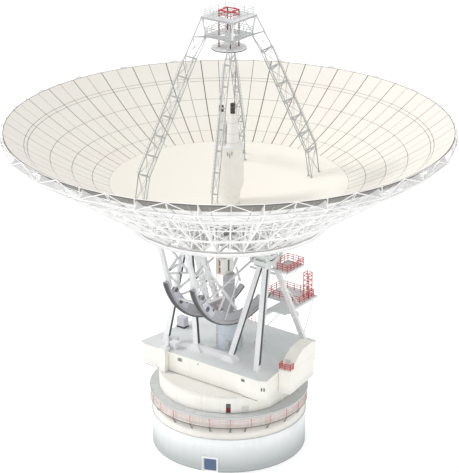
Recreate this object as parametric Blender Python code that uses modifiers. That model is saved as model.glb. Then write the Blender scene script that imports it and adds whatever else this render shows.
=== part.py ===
"""A 70 m steerable radio telescope dish, modelled at half size.

Every dimension below is a real one, in metres of the full-size antenna. All pieces hang from one
empty that scales them by SCALE, so the finished model is 35 m across and 36.5 m tall.
+Z is up, the elevation axis runs along X, and the dish points at the zenith and tilts towards -Y.
"""

import math

import bmesh
import bpy
from mathutils import Matrix, Vector

SCALE = 0.5
GAP = 0.0003 / SCALE

# Pedestal, which stands still
WALL_RADIUS = 12.48
WALL_THICKNESS = 1.0
WALL_TOP = 5.8
WALL_SEGMENTS = 4
BAND_TOP = 9.46
BAND_RADIUS = 12.0
GALLERY_Z = 8.05
GALLERY_RADIUS = 12.74
ROOF_RADIUS = 12.76
ROOF_TOP = 9.9
FLOOR_THICKNESS = 0.3
DOOR_AZIMUTH = -67.0
DOORWAY_WIDTH = 2.3
DOORWAY_HEIGHT = 2.35
DOOR_FRAME = 0.16
RUNNER_INNER = 9.5
RUNNER_OUTER = 10.3
RUNNER_TOP = 10.05

# Turning base, which turns in azimuth
TURNTABLE_TOP = 10.4
SKIRT_RADIUS = 11.3
SKIRT_THICKNESS = 0.3
SKIRT_BOTTOM = 9.96
SKIRT_FLAT_X = 10.75
HOUSE_BOTTOM = 12.8
HOUSE_FLOOR_TOP = 13.05
DRUM_ROOF = 0.12
DECK_TOP = 16.35
DECK_THICKNESS = 0.35
HOUSE_WALL = 0.3
DECK_FRONT_Y = -7.6
DECK_CHAMFER_Y = -7.0
DECK_BACK_Y = 10.1
DECK_FRONT_X = 11.4
DECK_CORNER_X = 12.5
DECK_BACK_X = 10.0
DECK_OVERHANG = 0.05
HUT_FRONT_Y = -3.0
HUT_WIDTH = 2.1

# Towers that carry the elevation bearings
AXIS_Z = 35.2
BEARING_X = 7.4
BEARING_HALF_LENGTH = 1.0
BEARING_RADIUS = 2.1
BEARING_BASE_HALF = 1.9
LEG_TOP = 32.6
LEG_SECTION = (0.95, 0.6)
LEG_TOP_SECTION = (0.85, 0.55)
PLATFORM_THICKNESS = 0.35
DRUM_TOP = 21.0
COLUMN_TOP = 29.0
UPPER_PLATFORM_Z = 31.4
LOWER_PLATFORM_Z = 22.3
SHAFT_RADIUS = 0.9
SHAFT_CLEARANCE = 0.012

# Tipping structure
WHEEL_X = 2.6
WHEEL_RADIUS = 13.5
WHEEL_WEB = 1.8
WHEEL_FIRST_ANGLE = -162.0
WHEEL_LAST_ANGLE = -58.0
RING_RADIUS = 15.2
RING_BOTTOM = 38.1
RING_TOP = 38.7
HUB_RADIUS = 4.6
HUB_TOP = 40.65

# Reflector
DISH_RADIUS = 34.6
DISH_SEGMENTS = 72
VERTEX_Z = 41.0
FOCAL_LENGTH = 23.38
SHELL_THICKNESS = 0.25
SHELL_STATIONS = (1.75, 9.0, 16.0, 22.5, 29.0, DISH_RADIUS)
RIBS = 24
RIB_THICKNESS = 0.22
RIB_BAR = 0.34
RIM_RADIUS = 35.0
RIM_TOP = 54.0
RIM_BOTTOM = 52.07
RIM_BAR = 0.26

# Feed and quadripod
NECK_RADIUS = 1.68
BARREL_RADIUS = 2.3
BARREL_TOP = 50.5
CONE_TOP = 57.4
CONE_OFFSET = 1.15
LEG_FOOT = (6.97, 13.06)
LEG_KNEE = (6.64, 12.53, 47.7)
LEG_BEND = (3.29, 5.08, 65.2)
LEG_TIPS = ((3.28, 5.0), (1.85, 2.5), (2.5, 2.15))
LEG_BAYS = 6
LEG_DEPTH = 2.0
LEG_SPREAD = 0.9
LEG_BAR = 0.28
APEX_TOP_Z = 71.1
APEX_LOW_Z = 68.2
APEX_TOP_HALF = 3.07
APEX_LOW_HALF = 2.7
APEX_PLATE = 0.25
RAIL_HEIGHT = 1.15
HOIST_HALF = 1.1
HOIST_BAR = 0.34
SUBREFLECTOR_RADIUS = 2.7
SUBREFLECTOR_TOP = 66.3


def clear_scene():
    for old in list(bpy.data.objects):
        bpy.data.objects.remove(old, do_unlink=True)


clear_scene()

PIECES = bpy.data.collections.new("radio_telescope_dish")
bpy.context.scene.collection.children.link(PIECES)


def axis_empty(name, parent, height, scale=1.0):
    empty = bpy.data.objects.new(name, None)
    PIECES.objects.link(empty)
    empty.parent = parent
    empty.location = (0, 0, height)
    empty.scale = (scale, scale, scale)
    return empty


MODEL_SCALE = axis_empty("model_scale", None, 0, SCALE)
AZIMUTH_AXIS = axis_empty("azimuth_axis", MODEL_SCALE, 0)
ELEVATION_AXIS = axis_empty("elevation_axis", AZIMUTH_AXIS, AXIS_Z)
BODIES = {"pedestal": MODEL_SCALE, "alidade": AZIMUTH_AXIS, "dish": ELEVATION_AXIS}
BODY_HEIGHTS = {"pedestal": 0, "alidade": 0, "dish": AXIS_Z}


def paint(name, colour, roughness, metallic=0.0):
    material = bpy.data.materials.new(name)
    material.use_nodes = True
    shader = material.node_tree.nodes["Principled BSDF"]
    shader.inputs["Base Color"].default_value = (*colour, 1)
    shader.inputs["Roughness"].default_value = roughness
    shader.inputs["Metallic"].default_value = metallic
    return material


CONCRETE = paint("pale_concrete", (0.74, 0.77, 0.78), 0.85)
ROOF_GREY = paint("roof_grey", (0.48, 0.51, 0.53), 0.8)
IVORY = paint("ivory_paint", (0.84, 0.82, 0.76), 0.6)
WHITE = paint("white_paint", (0.85, 0.86, 0.86), 0.5)
STEEL_GREY = paint("grey_paint", (0.42, 0.42, 0.44), 0.5)
RED = paint("red_paint", (0.62, 0.06, 0.06), 0.5)
BLUE_GREY = paint("shutter_blue_grey", (0.12, 0.16, 0.24), 0.5)
REFLECTOR_WHITE = paint("reflector_cream", (0.86, 0.83, 0.77), 0.55)


def place(obj, body, material):
    """Hang an object, whose mesh is in full-size metres, from the empty of its body."""
    if obj.name not in PIECES.objects:
        PIECES.objects.link(obj)
    obj.parent = BODIES[body]
    obj.location = (0, 0, -BODY_HEIGHTS[body])
    obj.data.materials.clear()
    obj.data.materials.append(material)
    return obj


def loose_object(name, bm):
    """An object that isn't placed yet, from a bmesh."""
    bmesh.ops.recalc_face_normals(bm, faces=bm.faces)
    mesh = bpy.data.meshes.new(name)
    bm.to_mesh(mesh)
    bm.free()
    obj = bpy.data.objects.new(name, mesh)
    bpy.context.scene.collection.objects.link(obj)
    return obj


def box(name, low, high):
    bm = bmesh.new()
    bmesh.ops.create_cube(bm, size=1)
    low, high = Vector(low), Vector(high)
    size = high - low
    for vert in bm.verts:
        vert.co = [low[i] + (vert.co[i] + 0.5) * size[i] for i in range(3)]
    return loose_object(name, bm)


def leaning_post(name, base, base_size, top, top_size):
    """A box between two level rectangles, which may stand beside each other and differ in size."""
    bm = bmesh.new()
    bmesh.ops.create_cube(bm, size=1)
    for vert in bm.verts:
        centre, size = (top, top_size) if vert.co.z > 0 else (base, base_size)
        vert.co = Vector(
            (centre[0] + vert.co.x * size[0], centre[1] + vert.co.y * size[1], centre[2])
        )
    return loose_object(name, bm)


def cylinder(name, centre, radius, length, steps=32, axis="Z", top_radius=None):
    """A cylinder or cone whose centre of length is at centre."""
    bm = bmesh.new()
    bmesh.ops.create_cone(
        bm,
        cap_ends=True,
        segments=steps,
        radius1=radius,
        radius2=radius if top_radius is None else top_radius,
        depth=length,
    )
    turn = Matrix.Rotation(math.pi / 2, 4, "Y") if axis == "X" else Matrix.Identity(4)
    bmesh.ops.transform(bm, matrix=Matrix.Translation(centre) @ turn, verts=bm.verts)
    return loose_object(name, bm)


def turned(name, profile, steps):
    """A profile of (radius, height) points, closed into a ring, with a Screw modifier."""
    bm = bmesh.new()
    verts = [bm.verts.new((radius, 0, height)) for radius, height in profile]
    for one, two in zip(verts, verts[1:] + verts[:1]):
        bm.edges.new((one, two))
    mesh = bpy.data.meshes.new(name)
    bm.to_mesh(mesh)
    bm.free()
    obj = bpy.data.objects.new(name, mesh)
    bpy.context.scene.collection.objects.link(obj)
    screw = obj.modifiers.new("turn", "SCREW")
    screw.steps = steps
    screw.render_steps = steps
    screw.use_merge_vertices = True
    screw.merge_threshold = 0.0001
    return obj


def turned_solid(name, profile, steps):
    """A solid of revolution. The profile starts and ends on the Z axis and runs top to bottom."""
    bm = bmesh.new()
    verts = [bm.verts.new((radius, 0, height)) for radius, height in profile]
    for one, two in zip(verts, verts[1:]):
        bm.edges.new((one, two))
    bmesh.ops.spin(
        bm,
        geom=bm.verts[:] + bm.edges[:],
        cent=(0, 0, 0),
        axis=(0, 0, 1),
        angle=2 * math.pi,
        steps=steps,
        use_duplicate=False,
    )
    bmesh.ops.remove_doubles(bm, verts=bm.verts, dist=0.0001)
    return loose_object(name, bm)


def evaluated_mesh(obj, name):
    bpy.context.view_layer.update()
    graph = bpy.context.evaluated_depsgraph_get()
    mesh = bpy.data.meshes.new_from_object(obj.evaluated_get(graph))
    mesh.name = name
    mesh.transform(obj.matrix_world)
    return mesh


def settled(obj):
    """The object with its modifiers applied, as a plain mesh with welded caps."""
    name = obj.name
    mesh = evaluated_mesh(obj, name)
    bpy.data.objects.remove(obj, do_unlink=True)
    bm = bmesh.new()
    bm.from_mesh(mesh)
    bmesh.ops.remove_doubles(bm, verts=bm.verts, dist=0.00005)
    bmesh.ops.recalc_face_normals(bm, faces=bm.faces)
    bm.to_mesh(mesh)
    bm.free()
    fresh = bpy.data.objects.new(name, mesh)
    bpy.context.scene.collection.objects.link(fresh)
    return fresh


def outline_plate(name, outline, holes, thickness):
    """A flat outline in XY with holes, thickened evenly about z = 0."""
    curve = bpy.data.curves.new(name, "CURVE")
    curve.dimensions = "2D"
    curve.fill_mode = "BOTH"
    curve.extrude = thickness / 2
    for loop in [outline, *holes]:
        spline = curve.splines.new("POLY")
        spline.points.add(len(loop) - 1)
        for point, (x, y) in zip(spline.points, loop):
            point.co = (x, y, 0, 1)
        spline.use_cyclic_u = True
    obj = bpy.data.objects.new(name, curve)
    bpy.context.scene.collection.objects.link(obj)
    return obj


def slab(name, outline, holes, bottom, top):
    """A level plate with the given outline, between two heights."""
    plate = outline_plate(name, outline, holes, top - bottom)
    plate.location.z = (bottom + top) / 2
    return settled(plate)


def upright_plate(name, outline, holes, thickness, azimuth=0.0, offset=0.0):
    """A plate in the plane through the Z axis at an azimuth. Its outline is in (radius, height)."""
    plate = outline_plate(name, outline, holes, thickness)
    turn = Matrix.Rotation(math.radians(azimuth), 4, "Z")
    stand = Matrix.Rotation(math.pi / 2, 4, "X")
    plate.matrix_world = turn @ Matrix.Translation((0, offset, 0)) @ stand
    return settled(plate)


def combined(base, others, operation):
    """One object from a Boolean of a base and other objects, which are used up."""
    for number, other in enumerate(others):
        modifier = base.modifiers.new(f"{operation.lower()}_{number}", "BOOLEAN")
        modifier.operation = operation
        modifier.solver = "EXACT"
        modifier.object = other
    result = settled(base)
    for other in others:
        bpy.data.objects.remove(other, do_unlink=True)
    return result


def welded(base, *others):
    return combined(base, others, "UNION")


def cut(base, *others):
    return combined(base, others, "DIFFERENCE")


def lattice(name, points, faces, bar):
    """Bars along every edge of a faceted surface, fused where they meet."""
    bm = bmesh.new()
    verts = [bm.verts.new(point) for point in points]
    for face in faces:
        bm.faces.new([verts[index] for index in face])
    obj = loose_object(name, bm)
    wire = obj.modifiers.new("bars", "WIREFRAME")
    wire.thickness = bar
    wire.offset = 0
    wire.use_replace = True
    wire.use_boundary = True
    wire.use_even_offset = False
    return settled(obj)


def on_circle(radius, azimuth, height=None):
    angle = math.radians(azimuth)
    point = (radius * math.cos(angle), radius * math.sin(angle))
    return point if height is None else (*point, height)


def arc(radius, first, last, steps):
    return [on_circle(radius, first + (last - first) * i / steps) for i in range(steps + 1)]


def railing(name, corners, foot_z, height, bay, bar, closed=True, rows=2):
    """Posts with a foot rail and one or two rails above, along a level line of (x, y) corners."""
    line = []
    ends = corners[1:] + corners[:1] if closed else corners[1:]
    for start, end in zip(corners, ends):
        start, end = Vector(start), Vector(end)
        count = max(1, round((end - start).length / bay))
        line += [start.lerp(end, i / count) for i in range(count)]
    if not closed:
        line.append(Vector(corners[-1]))
    levels = [foot_z + (height - bar / 2) * row / rows for row in range(rows + 1)]
    points = [(p.x, p.y, z) for z in levels for p in line]
    count = len(line)
    spans = count if closed else count - 1
    faces = []
    for level in range(len(levels) - 1):
        for i in range(spans):
            j = (i + 1) % count
            faces.append(
                (level * count + i, level * count + j, (level + 1) * count + j, (level + 1) * count + i)
            )
    return set_down(lattice(name, points, faces, bar), foot_z)


def set_down(obj, height):
    """Move a lattice so that its lowest point stands on a level surface."""
    lowest = min(vert.co.z for vert in obj.data.vertices)
    obj.data.transform(Matrix.Translation((0, 0, height + GAP - lowest)))
    return obj


# Pedestal


def wall_segment(name, first, last):
    """A stretch of the round wall between two azimuths."""
    steps = round((last - first) / 7.5)
    outside = arc(WALL_RADIUS, first, last, steps)
    inside = arc(WALL_RADIUS - WALL_THICKNESS, first, last, steps)
    return slab(name, outside + inside[::-1], [], 0, WALL_TOP)


def build_pedestal():
    inner = WALL_RADIUS - WALL_THICKNESS
    span = 360 / WALL_SEGMENTS
    step = 7.5
    edge = arc(inner - 2 * GAP, DOOR_AZIMUTH - span / 2, DOOR_AZIMUTH - span / 2 + 360 - step, 47)
    place(slab("pedestal_floor", edge, [], 0, FLOOR_THICKNESS), "pedestal", CONCRETE)
    joint = math.degrees(GAP / WALL_RADIUS)
    for number in range(WALL_SEGMENTS):
        start = DOOR_AZIMUTH + (number - 0.5) * span
        wall = wall_segment(
            f"pedestal_wall_{number + 1}", start + joint / 2, start + span - joint / 2
        )
        if number == 0:
            wall = cut(wall, doorway_cutter())
        place(wall, "pedestal", CONCRETE)
    build_door()
    band = turned(
        "pedestal_band",
        [
            (BAND_RADIUS, BAND_TOP - GAP),
            (BAND_RADIUS, GALLERY_Z),
            (GALLERY_RADIUS, GALLERY_Z),
            (GALLERY_RADIUS, GALLERY_Z - 0.12),
            (BAND_RADIUS, GALLERY_Z - 0.3),
            (BAND_RADIUS, 7.05),
            (WALL_RADIUS - 0.1, WALL_TOP + GAP),
            (inner, WALL_TOP + GAP),
            (inner, BAND_TOP - GAP),
        ],
        48,
    )
    place(band, "pedestal", CONCRETE)
    roof = cylinder(
        "pedestal_roof",
        (0, 0, (BAND_TOP + ROOF_TOP) / 2),
        ROOF_RADIUS,
        ROOF_TOP - BAND_TOP,
        48,
    )
    place(roof, "pedestal", ROOF_GREY)
    runner = turned(
        "azimuth_runner",
        [
            (RUNNER_OUTER, RUNNER_TOP),
            (RUNNER_OUTER, ROOF_TOP + GAP),
            (RUNNER_INNER, ROOF_TOP + GAP),
            (RUNNER_INNER, RUNNER_TOP),
        ],
        36,
    )
    place(runner, "pedestal", STEEL_GREY)
    line = [on_circle(GALLERY_RADIUS - 0.08, 15 * i) for i in range(24)]
    rail = railing("gallery_rail", line, GALLERY_Z, RAIL_HEIGHT, 4.0, 0.08, rows=1)
    place(rail, "pedestal", RED)


def doorway_cutter():
    half = DOORWAY_WIDTH / 2
    cutter = box("doorway_cutter", (10, -half, -1), (14, half, DOORWAY_HEIGHT))
    cutter.rotation_euler.z = math.radians(DOOR_AZIMUTH)
    return settled(cutter)


def build_door():
    """A roller shutter in a white frame, upright in the round wall."""
    half, top = DOORWAY_WIDTH / 2 - GAP, DOORWAY_HEIGHT - GAP
    outline = [(-half, 0), (half, 0), (half, top), (-half, top)]
    inside = half - DOOR_FRAME
    hole = [
        (-inside, DOOR_FRAME),
        (inside, DOOR_FRAME),
        (inside, top - DOOR_FRAME),
        (-inside, top - DOOR_FRAME),
    ]
    face_radius = WALL_RADIUS - 0.35
    frame = outline_plate("shutter_frame", outline, [hole], 0.3)
    shutter_half = inside - GAP
    low, high = DOOR_FRAME + GAP, top - DOOR_FRAME - GAP
    shutter = outline_plate(
        "roller_shutter",
        [(-shutter_half, low), (shutter_half, low), (shutter_half, high), (-shutter_half, high)],
        [],
        0.1,
    )
    for piece, colour in ((frame, WHITE), (shutter, BLUE_GREY)):
        turn = Matrix.Rotation(math.radians(DOOR_AZIMUTH + 90), 4, "Z")
        out = Matrix.Translation((*on_circle(face_radius, DOOR_AZIMUTH), 0))
        piece.matrix_world = out @ turn @ Matrix.Rotation(math.pi / 2, 4, "X")
        place(settled(piece), "pedestal", colour)


# Turning base


def house_plan(inset=0.0):
    """The outline of the machinery house, seen from above."""
    return [
        (-DECK_FRONT_X + inset * 0.6, DECK_FRONT_Y + inset),
        (DECK_FRONT_X - inset * 0.6, DECK_FRONT_Y + inset),
        (DECK_CORNER_X - inset, DECK_CHAMFER_Y + inset * 0.6),
        (DECK_BACK_X - inset, DECK_BACK_Y - inset),
        (-DECK_BACK_X + inset, DECK_BACK_Y - inset),
        (-DECK_CORNER_X + inset, DECK_CHAMFER_Y + inset * 0.6),
    ]


def skirt_outline(radius, flat_x, steps):
    """A circle with a flat side at +X."""
    half = math.degrees(math.acos(flat_x / radius))
    return arc(radius, half, 360 - half, steps)


def build_base():
    turntable = turned(
        "turntable_ring",
        [
            (SKIRT_RADIUS - 0.1, TURNTABLE_TOP),
            (SKIRT_RADIUS - 0.1, RUNNER_TOP + GAP),
            (RUNNER_INNER - 0.6, RUNNER_TOP + GAP),
            (RUNNER_INNER - 0.6, TURNTABLE_TOP),
        ],
        36,
    )
    skirt = slab(
        "azimuth_skirt",
        skirt_outline(SKIRT_RADIUS, SKIRT_FLAT_X, 36),
        [skirt_outline(SKIRT_RADIUS - SKIRT_THICKNESS, SKIRT_FLAT_X - SKIRT_THICKNESS, 36)],
        SKIRT_BOTTOM,
        HOUSE_BOTTOM - GAP,
    )
    doorway = box("skirt_doorway_cutter", (-0.45, 10, SKIRT_BOTTOM - 1), (0.45, 12, 12.0))
    doorway.rotation_euler.z = math.radians(-53.5 - 90)
    flat = box("flat_cutter", (SKIRT_FLAT_X - 0.1, -9, 9), (SKIRT_FLAT_X + 3, 9, 12))
    turntable = cut(settled(turntable), flat)
    place(cut(welded(skirt, turntable), settled(doorway)), "alidade", IVORY)
    drum_roof = slab(
        "drum_roof",
        skirt_outline(SKIRT_RADIUS, SKIRT_FLAT_X, 36),
        [],
        HOUSE_BOTTOM,
        HOUSE_BOTTOM + DRUM_ROOF,
    )
    floor = slab("house_floor", house_plan(0.3), [], HOUSE_BOTTOM + 0.01, HOUSE_FLOOR_TOP)
    place(welded(floor, drum_roof), "alidade", IVORY)
    walls = slab(
        "house_walls",
        house_plan(),
        [house_plan(HOUSE_WALL)],
        HOUSE_FLOOR_TOP + GAP,
        DECK_TOP - DECK_THICKNESS - GAP,
    )
    place(walls, "alidade", IVORY)
    deck = slab("deck_plate", house_plan(-DECK_OVERHANG), [], DECK_TOP - DECK_THICKNESS, DECK_TOP)
    place(deck, "alidade", ROOF_GREY)
    build_hut()
    trunk = box(
        "cable_trunk",
        (-7.65, DECK_FRONT_Y - 0.95, HOUSE_BOTTOM + DRUM_ROOF + GAP),
        (-6.4, DECK_FRONT_Y - DECK_OVERHANG - GAP, DECK_TOP + 0.25),
    )
    place(trunk, "alidade", IVORY)
    cabinet = box("deck_cabinet", (-7.05, -6.5, DECK_TOP + GAP), (-5.8, -5.3, 17.4))
    place(cabinet, "alidade", WHITE)


def build_hut():
    """The stair hut on the right wall: a low landing in front and a rounded roof behind it."""
    side = [
        (0.0, 12.8),
        (8.3, 12.8),
        (8.3, 18.3),
        (7.8, 18.9),
        (4.2, 18.9),
        (2.7, 18.3),
        (1.2, 17.3),
        (1.2, 16.8),
        (0.0, 16.8),
    ]
    hut = outline_plate("stair_hut", side, [], HUT_WIDTH)
    deck_edge = house_plan(-DECK_OVERHANG)
    corner, back = Vector(deck_edge[2]), Vector(deck_edge[3])
    along = back - corner
    start = corner + along * (HUT_FRONT_Y - corner.y) / along.y
    slope = math.atan2(-along.x, along.y)
    stand = Matrix.Rotation(math.pi / 2, 4, "Z") @ Matrix.Rotation(math.pi / 2, 4, "X")
    hut.matrix_world = (
        Matrix.Translation((*start, 0))
        @ Matrix.Rotation(slope, 4, "Z")
        @ Matrix.Translation((HUT_WIDTH / 2 + GAP, 0, 0))
        @ stand
    )
    place(settled(hut), "alidade", IVORY)


FEET = {
    "front_inner": ((3.3, -4.1), (6.95, -1.1)),
    "front_outer": ((9.1, -4.85), (7.95, -1.1)),
    "back_outer": ((9.7, 7.7), (7.95, 1.1)),
    "back_inner": ((3.3, 3.9), (6.95, 1.1)),
}
SHOE_TOP = DECK_TOP + 0.9


def leg_section(which, height):
    """The centre and the half size, both as (x, y), of a right-hand leg at a height."""
    foot, top = (Vector(end) for end in FEET[which])
    share = (height - DECK_TOP) / (LEG_TOP - DECK_TOP)
    size = Vector(LEG_SECTION).lerp(Vector(LEG_TOP_SECTION), share)
    return foot.lerp(top, share), size / 2


def build_towers():
    for side, sign in (("right", 1), ("left", -1)):
        for which in FEET:
            base_z = SHOE_TOP + GAP if which == "front_inner" else DECK_TOP + GAP
            top_z = LEG_TOP - GAP
            base, base_half = leg_section(which, base_z)
            top, top_half = leg_section(which, top_z)
            leg = leaning_post(
                f"leg_{side}_{which}",
                (sign * base.x, base.y, base_z),
                tuple(2 * base_half),
                (sign * top.x, top.y, top_z),
                tuple(2 * top_half),
            )
            place(leg, "alidade", WHITE)
        build_bearing(side, sign)
    shoes = []
    foot_x, foot_y = FEET["front_inner"][0]
    for sign in (1, -1):
        shoes.append(
            leaning_post(
                f"shoe_{sign}",
                (sign * foot_x, foot_y, DECK_TOP + GAP),
                (2.6, 1.8),
                (sign * foot_x, foot_y, SHOE_TOP),
                (1.3, 1.3),
            )
        )
    beam = box(
        "front_tie_beam",
        (-foot_x, foot_y - 0.4, DECK_TOP + GAP),
        (foot_x, foot_y + 0.4, DECK_TOP + 0.75),
    )
    place(welded(beam, *shoes), "alidade", WHITE)


def build_bearing(side, sign):
    name = f"bearing_housing_{side}"
    centre = (sign * BEARING_X, 0, AXIS_Z)
    low_x, high_x = BEARING_X - BEARING_HALF_LENGTH, BEARING_X + BEARING_HALF_LENGTH
    if sign < 0:
        low_x, high_x = -high_x, -low_x
    base = box(
        name,
        (low_x - 0.1, -BEARING_BASE_HALF, LEG_TOP),
        (high_x + 0.1, BEARING_BASE_HALF, LEG_TOP + 0.9),
    )
    drum = cylinder("drum", centre, BEARING_RADIUS, 2 * BEARING_HALF_LENGTH, 24, "X")
    bore = cylinder(
        "bore",
        centre,
        (SHAFT_RADIUS + SHAFT_CLEARANCE) / math.cos(math.pi / 24),
        4 * BEARING_HALF_LENGTH,
        24,
        "X",
    )
    neck = box("neck", (low_x, -1.5, LEG_TOP + 0.5), (high_x, 1.5, AXIS_Z))
    place(cut(welded(base, neck, drum), bore), "alidade", STEEL_GREY)


def build_platforms():
    """Two service platforms, each notched round or reaching out to the legs that hold it."""
    leg, half = leg_section("back_outer", UPPER_PLATFORM_Z - PLATFORM_THICKNESS)
    inner_x, inner_y = leg.x + half.x + 2 * GAP, leg.y + half.y + 2 * GAP
    leg, half = leg_section("back_outer", UPPER_PLATFORM_Z)
    front_y = leg.y - half.y - 2 * GAP
    upper = slab(
        "upper_platform",
        [
            (7.45, 1.0),
            (10.7, 1.0),
            (10.7, 5.5),
            (7.5, 5.5),
            (7.5, inner_y),
            (inner_x, inner_y),
            (inner_x, front_y),
            (7.45, front_y),
        ],
        [],
        UPPER_PLATFORM_Z - PLATFORM_THICKNESS,
        UPPER_PLATFORM_Z,
    )
    place(upper, "alidade", ROOF_GREY)
    rail = railing(
        "upper_platform_rail",
        [(8.6, 1.1), (10.6, 1.1), (10.6, 5.4), (7.6, 5.4), (7.6, 2.3)],
        UPPER_PLATFORM_Z,
        RAIL_HEIGHT,
        1.6,
        0.1,
        closed=False,
    )
    place(rail, "alidade", RED)
    inner_leg, inner_half = leg_section("back_inner", LOWER_PLATFORM_Z - PLATFORM_THICKNESS)
    outer_leg, outer_half = leg_section("back_outer", LOWER_PLATFORM_Z - PLATFORM_THICKNESS)
    inner_y = inner_leg.y + inner_half.y + 2 * GAP
    outer_y = outer_leg.y + outer_half.y + 2 * GAP
    lower = slab(
        "lower_platform",
        [
            (4.2, inner_y),
            (5.2, inner_y),
            (5.2, 4.86),
            (7.6, 4.86),
            (7.6, outer_y),
            (9.4, outer_y),
            (9.4, outer_y + 0.5),
            (7.6, outer_y + 1.6),
            (7.6, 14.0),
            (0.6, 14.0),
            (0.6, 8.9),
            (4.2, 8.9),
        ],
        [],
        LOWER_PLATFORM_Z - PLATFORM_THICKNESS,
        LOWER_PLATFORM_Z,
    )
    place(lower, "alidade", ROOF_GREY)
    rail = railing(
        "lower_platform_rail",
        [(0.7, 9.3), (7.2, 9.3), (7.2, 13.4), (0.7, 13.4)],
        LOWER_PLATFORM_Z,
        RAIL_HEIGHT,
        1.7,
        0.1,
    )
    place(rail, "alidade", RED)
    cage = railing(
        "ladder_cage",
        [(6.0, 12.1), (7.05, 12.1), (7.05, 13.15), (6.0, 13.15)],
        LOWER_PLATFORM_Z,
        4.3,
        1.4,
        0.12,
        rows=3,
    )
    place(cage, "alidade", RED)


def build_centre():
    place(upright_drum("cable_drum", 1.95, DECK_TOP + GAP, DRUM_TOP, 32), "alidade", WHITE)
    column = upright_drum("centre_column", 0.95, DRUM_TOP + GAP, COLUMN_TOP, 24)
    place(column, "alidade", STEEL_GREY)
    cabinet = box("instrument_box", (-1.55, -1.33, COLUMN_TOP + GAP), (-0.07, 1.33, 31.7))
    place(cabinet, "alidade", IVORY)


def upright_drum(name, radius, bottom, top, steps):
    return cylinder(name, (0, 0, (bottom + top) / 2), radius, top - bottom, steps)


# Tipping structure


def build_girder():
    half = 5.2
    girder = box("elevation_girder", (-half, -1.3, AXIS_Z - 1.3), (half, 1.3, AXIS_Z + 1.3))
    inner_face = BEARING_X - BEARING_HALF_LENGTH
    shaft_end = BEARING_X + BEARING_HALF_LENGTH + 0.4
    shaft = cylinder("shaft", (0, 0, AXIS_Z), SHAFT_RADIUS, 2 * shaft_end, 24, "X")
    collar = cylinder("collar", (0, 0, AXIS_Z), 1.5, 2 * (inner_face - GAP), 24, "X")
    posts = [
        box(f"post_{sign}", (sign * 4.2 - 0.8, -1.3, AXIS_Z), (sign * 4.2 + 0.8, 1.3, RING_BOTTOM - GAP))
        for sign in (1, -1)
    ]
    place(welded(girder, collar, shaft, *posts), "dish", STEEL_GREY)


def build_wheels():
    """Two elevation wheels: an arc, its chords to the ring above, and long diagonals."""
    outer, inner = WHEEL_RADIUS, WHEEL_RADIUS - WHEEL_WEB
    top = RING_BOTTOM - GAP - AXIS_Z
    first, last = WHEEL_FIRST_ANGLE, WHEEL_LAST_ANGLE
    reach = RING_RADIUS - 0.3
    outline = [(-reach, top)] + arc(outer, first, last, 26)
    end = (outer * math.cos(math.radians(last)), outer * math.sin(math.radians(last)))
    outline += [(end[0] + 0.3, end[1] + 1.2), (reach, top)]
    beam = 0.7
    web = arc(inner, first + 6, last - 6, 20)
    lowest = min(range(len(web)), key=lambda i: web[i][1])
    left_web, right_web = web[: lowest - 1], web[lowest + 2 :]
    left_hole = [(-reach + 1.4, top - beam - 0.6)] + left_web
    right_hole = right_web + [(reach - 1.5, top - beam - 0.9)]
    middle = [
        (-reach + 2.9, top - beam),
        (web[lowest][0] - 0.7, web[lowest][1] + 1.0),
        (web[lowest][0] + 0.9, web[lowest][1] + 1.0),
        (reach - 2.9, top - beam),
    ]
    for side, sign in (("right", 1), ("left", -1)):
        name = f"elevation_wheel_{side}"
        plate = outline_plate(name, outline, [left_hole, middle, right_hole], 0.5)
        stand = Matrix.Rotation(math.pi / 2, 4, "Z") @ Matrix.Rotation(math.pi / 2, 4, "X")
        plate.matrix_world = Matrix.Translation((sign * WHEEL_X, 0, AXIS_Z)) @ stand
        rim_out = arc(outer + 0.15, first, last, 26)
        rim_in = arc(outer - 0.15, first, last, 26)
        flange = outline_plate(f"flange_{side}", rim_out + rim_in[::-1], [], 1.0)
        flange.matrix_world = plate.matrix_world.copy()
        place(welded(settled(plate), settled(flange)), "dish", STEEL_GREY)


def build_ring():
    half = 0.4
    ring = turned(
        "ring_beam",
        [
            (RING_RADIUS + half, RING_TOP),
            (RING_RADIUS + half, RING_BOTTOM),
            (RING_RADIUS - half, RING_BOTTOM),
            (RING_RADIUS - half, RING_TOP),
        ],
        RIBS,
    )
    beams = []
    for sign in (1, -1):
        beams.append(
            box(
                f"long_{sign}",
                (sign * 4.2 - 0.5, -RING_RADIUS + 0.9, RING_BOTTOM),
                (sign * 4.2 + 0.5, RING_RADIUS - 0.9, RING_TOP),
            )
        )
        beams.append(
            box(
                f"cross_{sign}",
                (-RING_RADIUS + 1.4, sign * 5.5 - 0.4, RING_BOTTOM),
                (RING_RADIUS - 1.4, sign * 5.5 + 0.4, RING_TOP),
            )
        )
    place(welded(settled(ring), *beams), "dish", WHITE)
    hub = upright_drum("hub_drum", HUB_RADIUS, RING_TOP + GAP, HUB_TOP, 24)
    place(hub, "dish", WHITE)


def dish_z(radius):
    return VERTEX_Z + radius**2 / (4 * FOCAL_LENGTH)


def shell_underside(radius):
    """The height under the faceted shell at a radius between two stations."""
    for low, high in zip(SHELL_STATIONS, SHELL_STATIONS[1:]):
        if radius <= high:
            share = (radius - low) / (high - low)
            return dish_z(low) + (dish_z(high) - dish_z(low)) * share - SHELL_THICKNESS
    return dish_z(DISH_RADIUS) - SHELL_THICKNESS


def build_reflector():
    top = [(radius, dish_z(radius)) for radius in SHELL_STATIONS]
    bottom = [(radius, height - SHELL_THICKNESS) for radius, height in top]
    shell = turned("reflector_shell", top[-1:] + bottom[::-1] + top[:-1], DISH_SEGMENTS)
    place(shell, "dish", REFLECTOR_WHITE)
    build_back_frame(build_rim())


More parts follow.
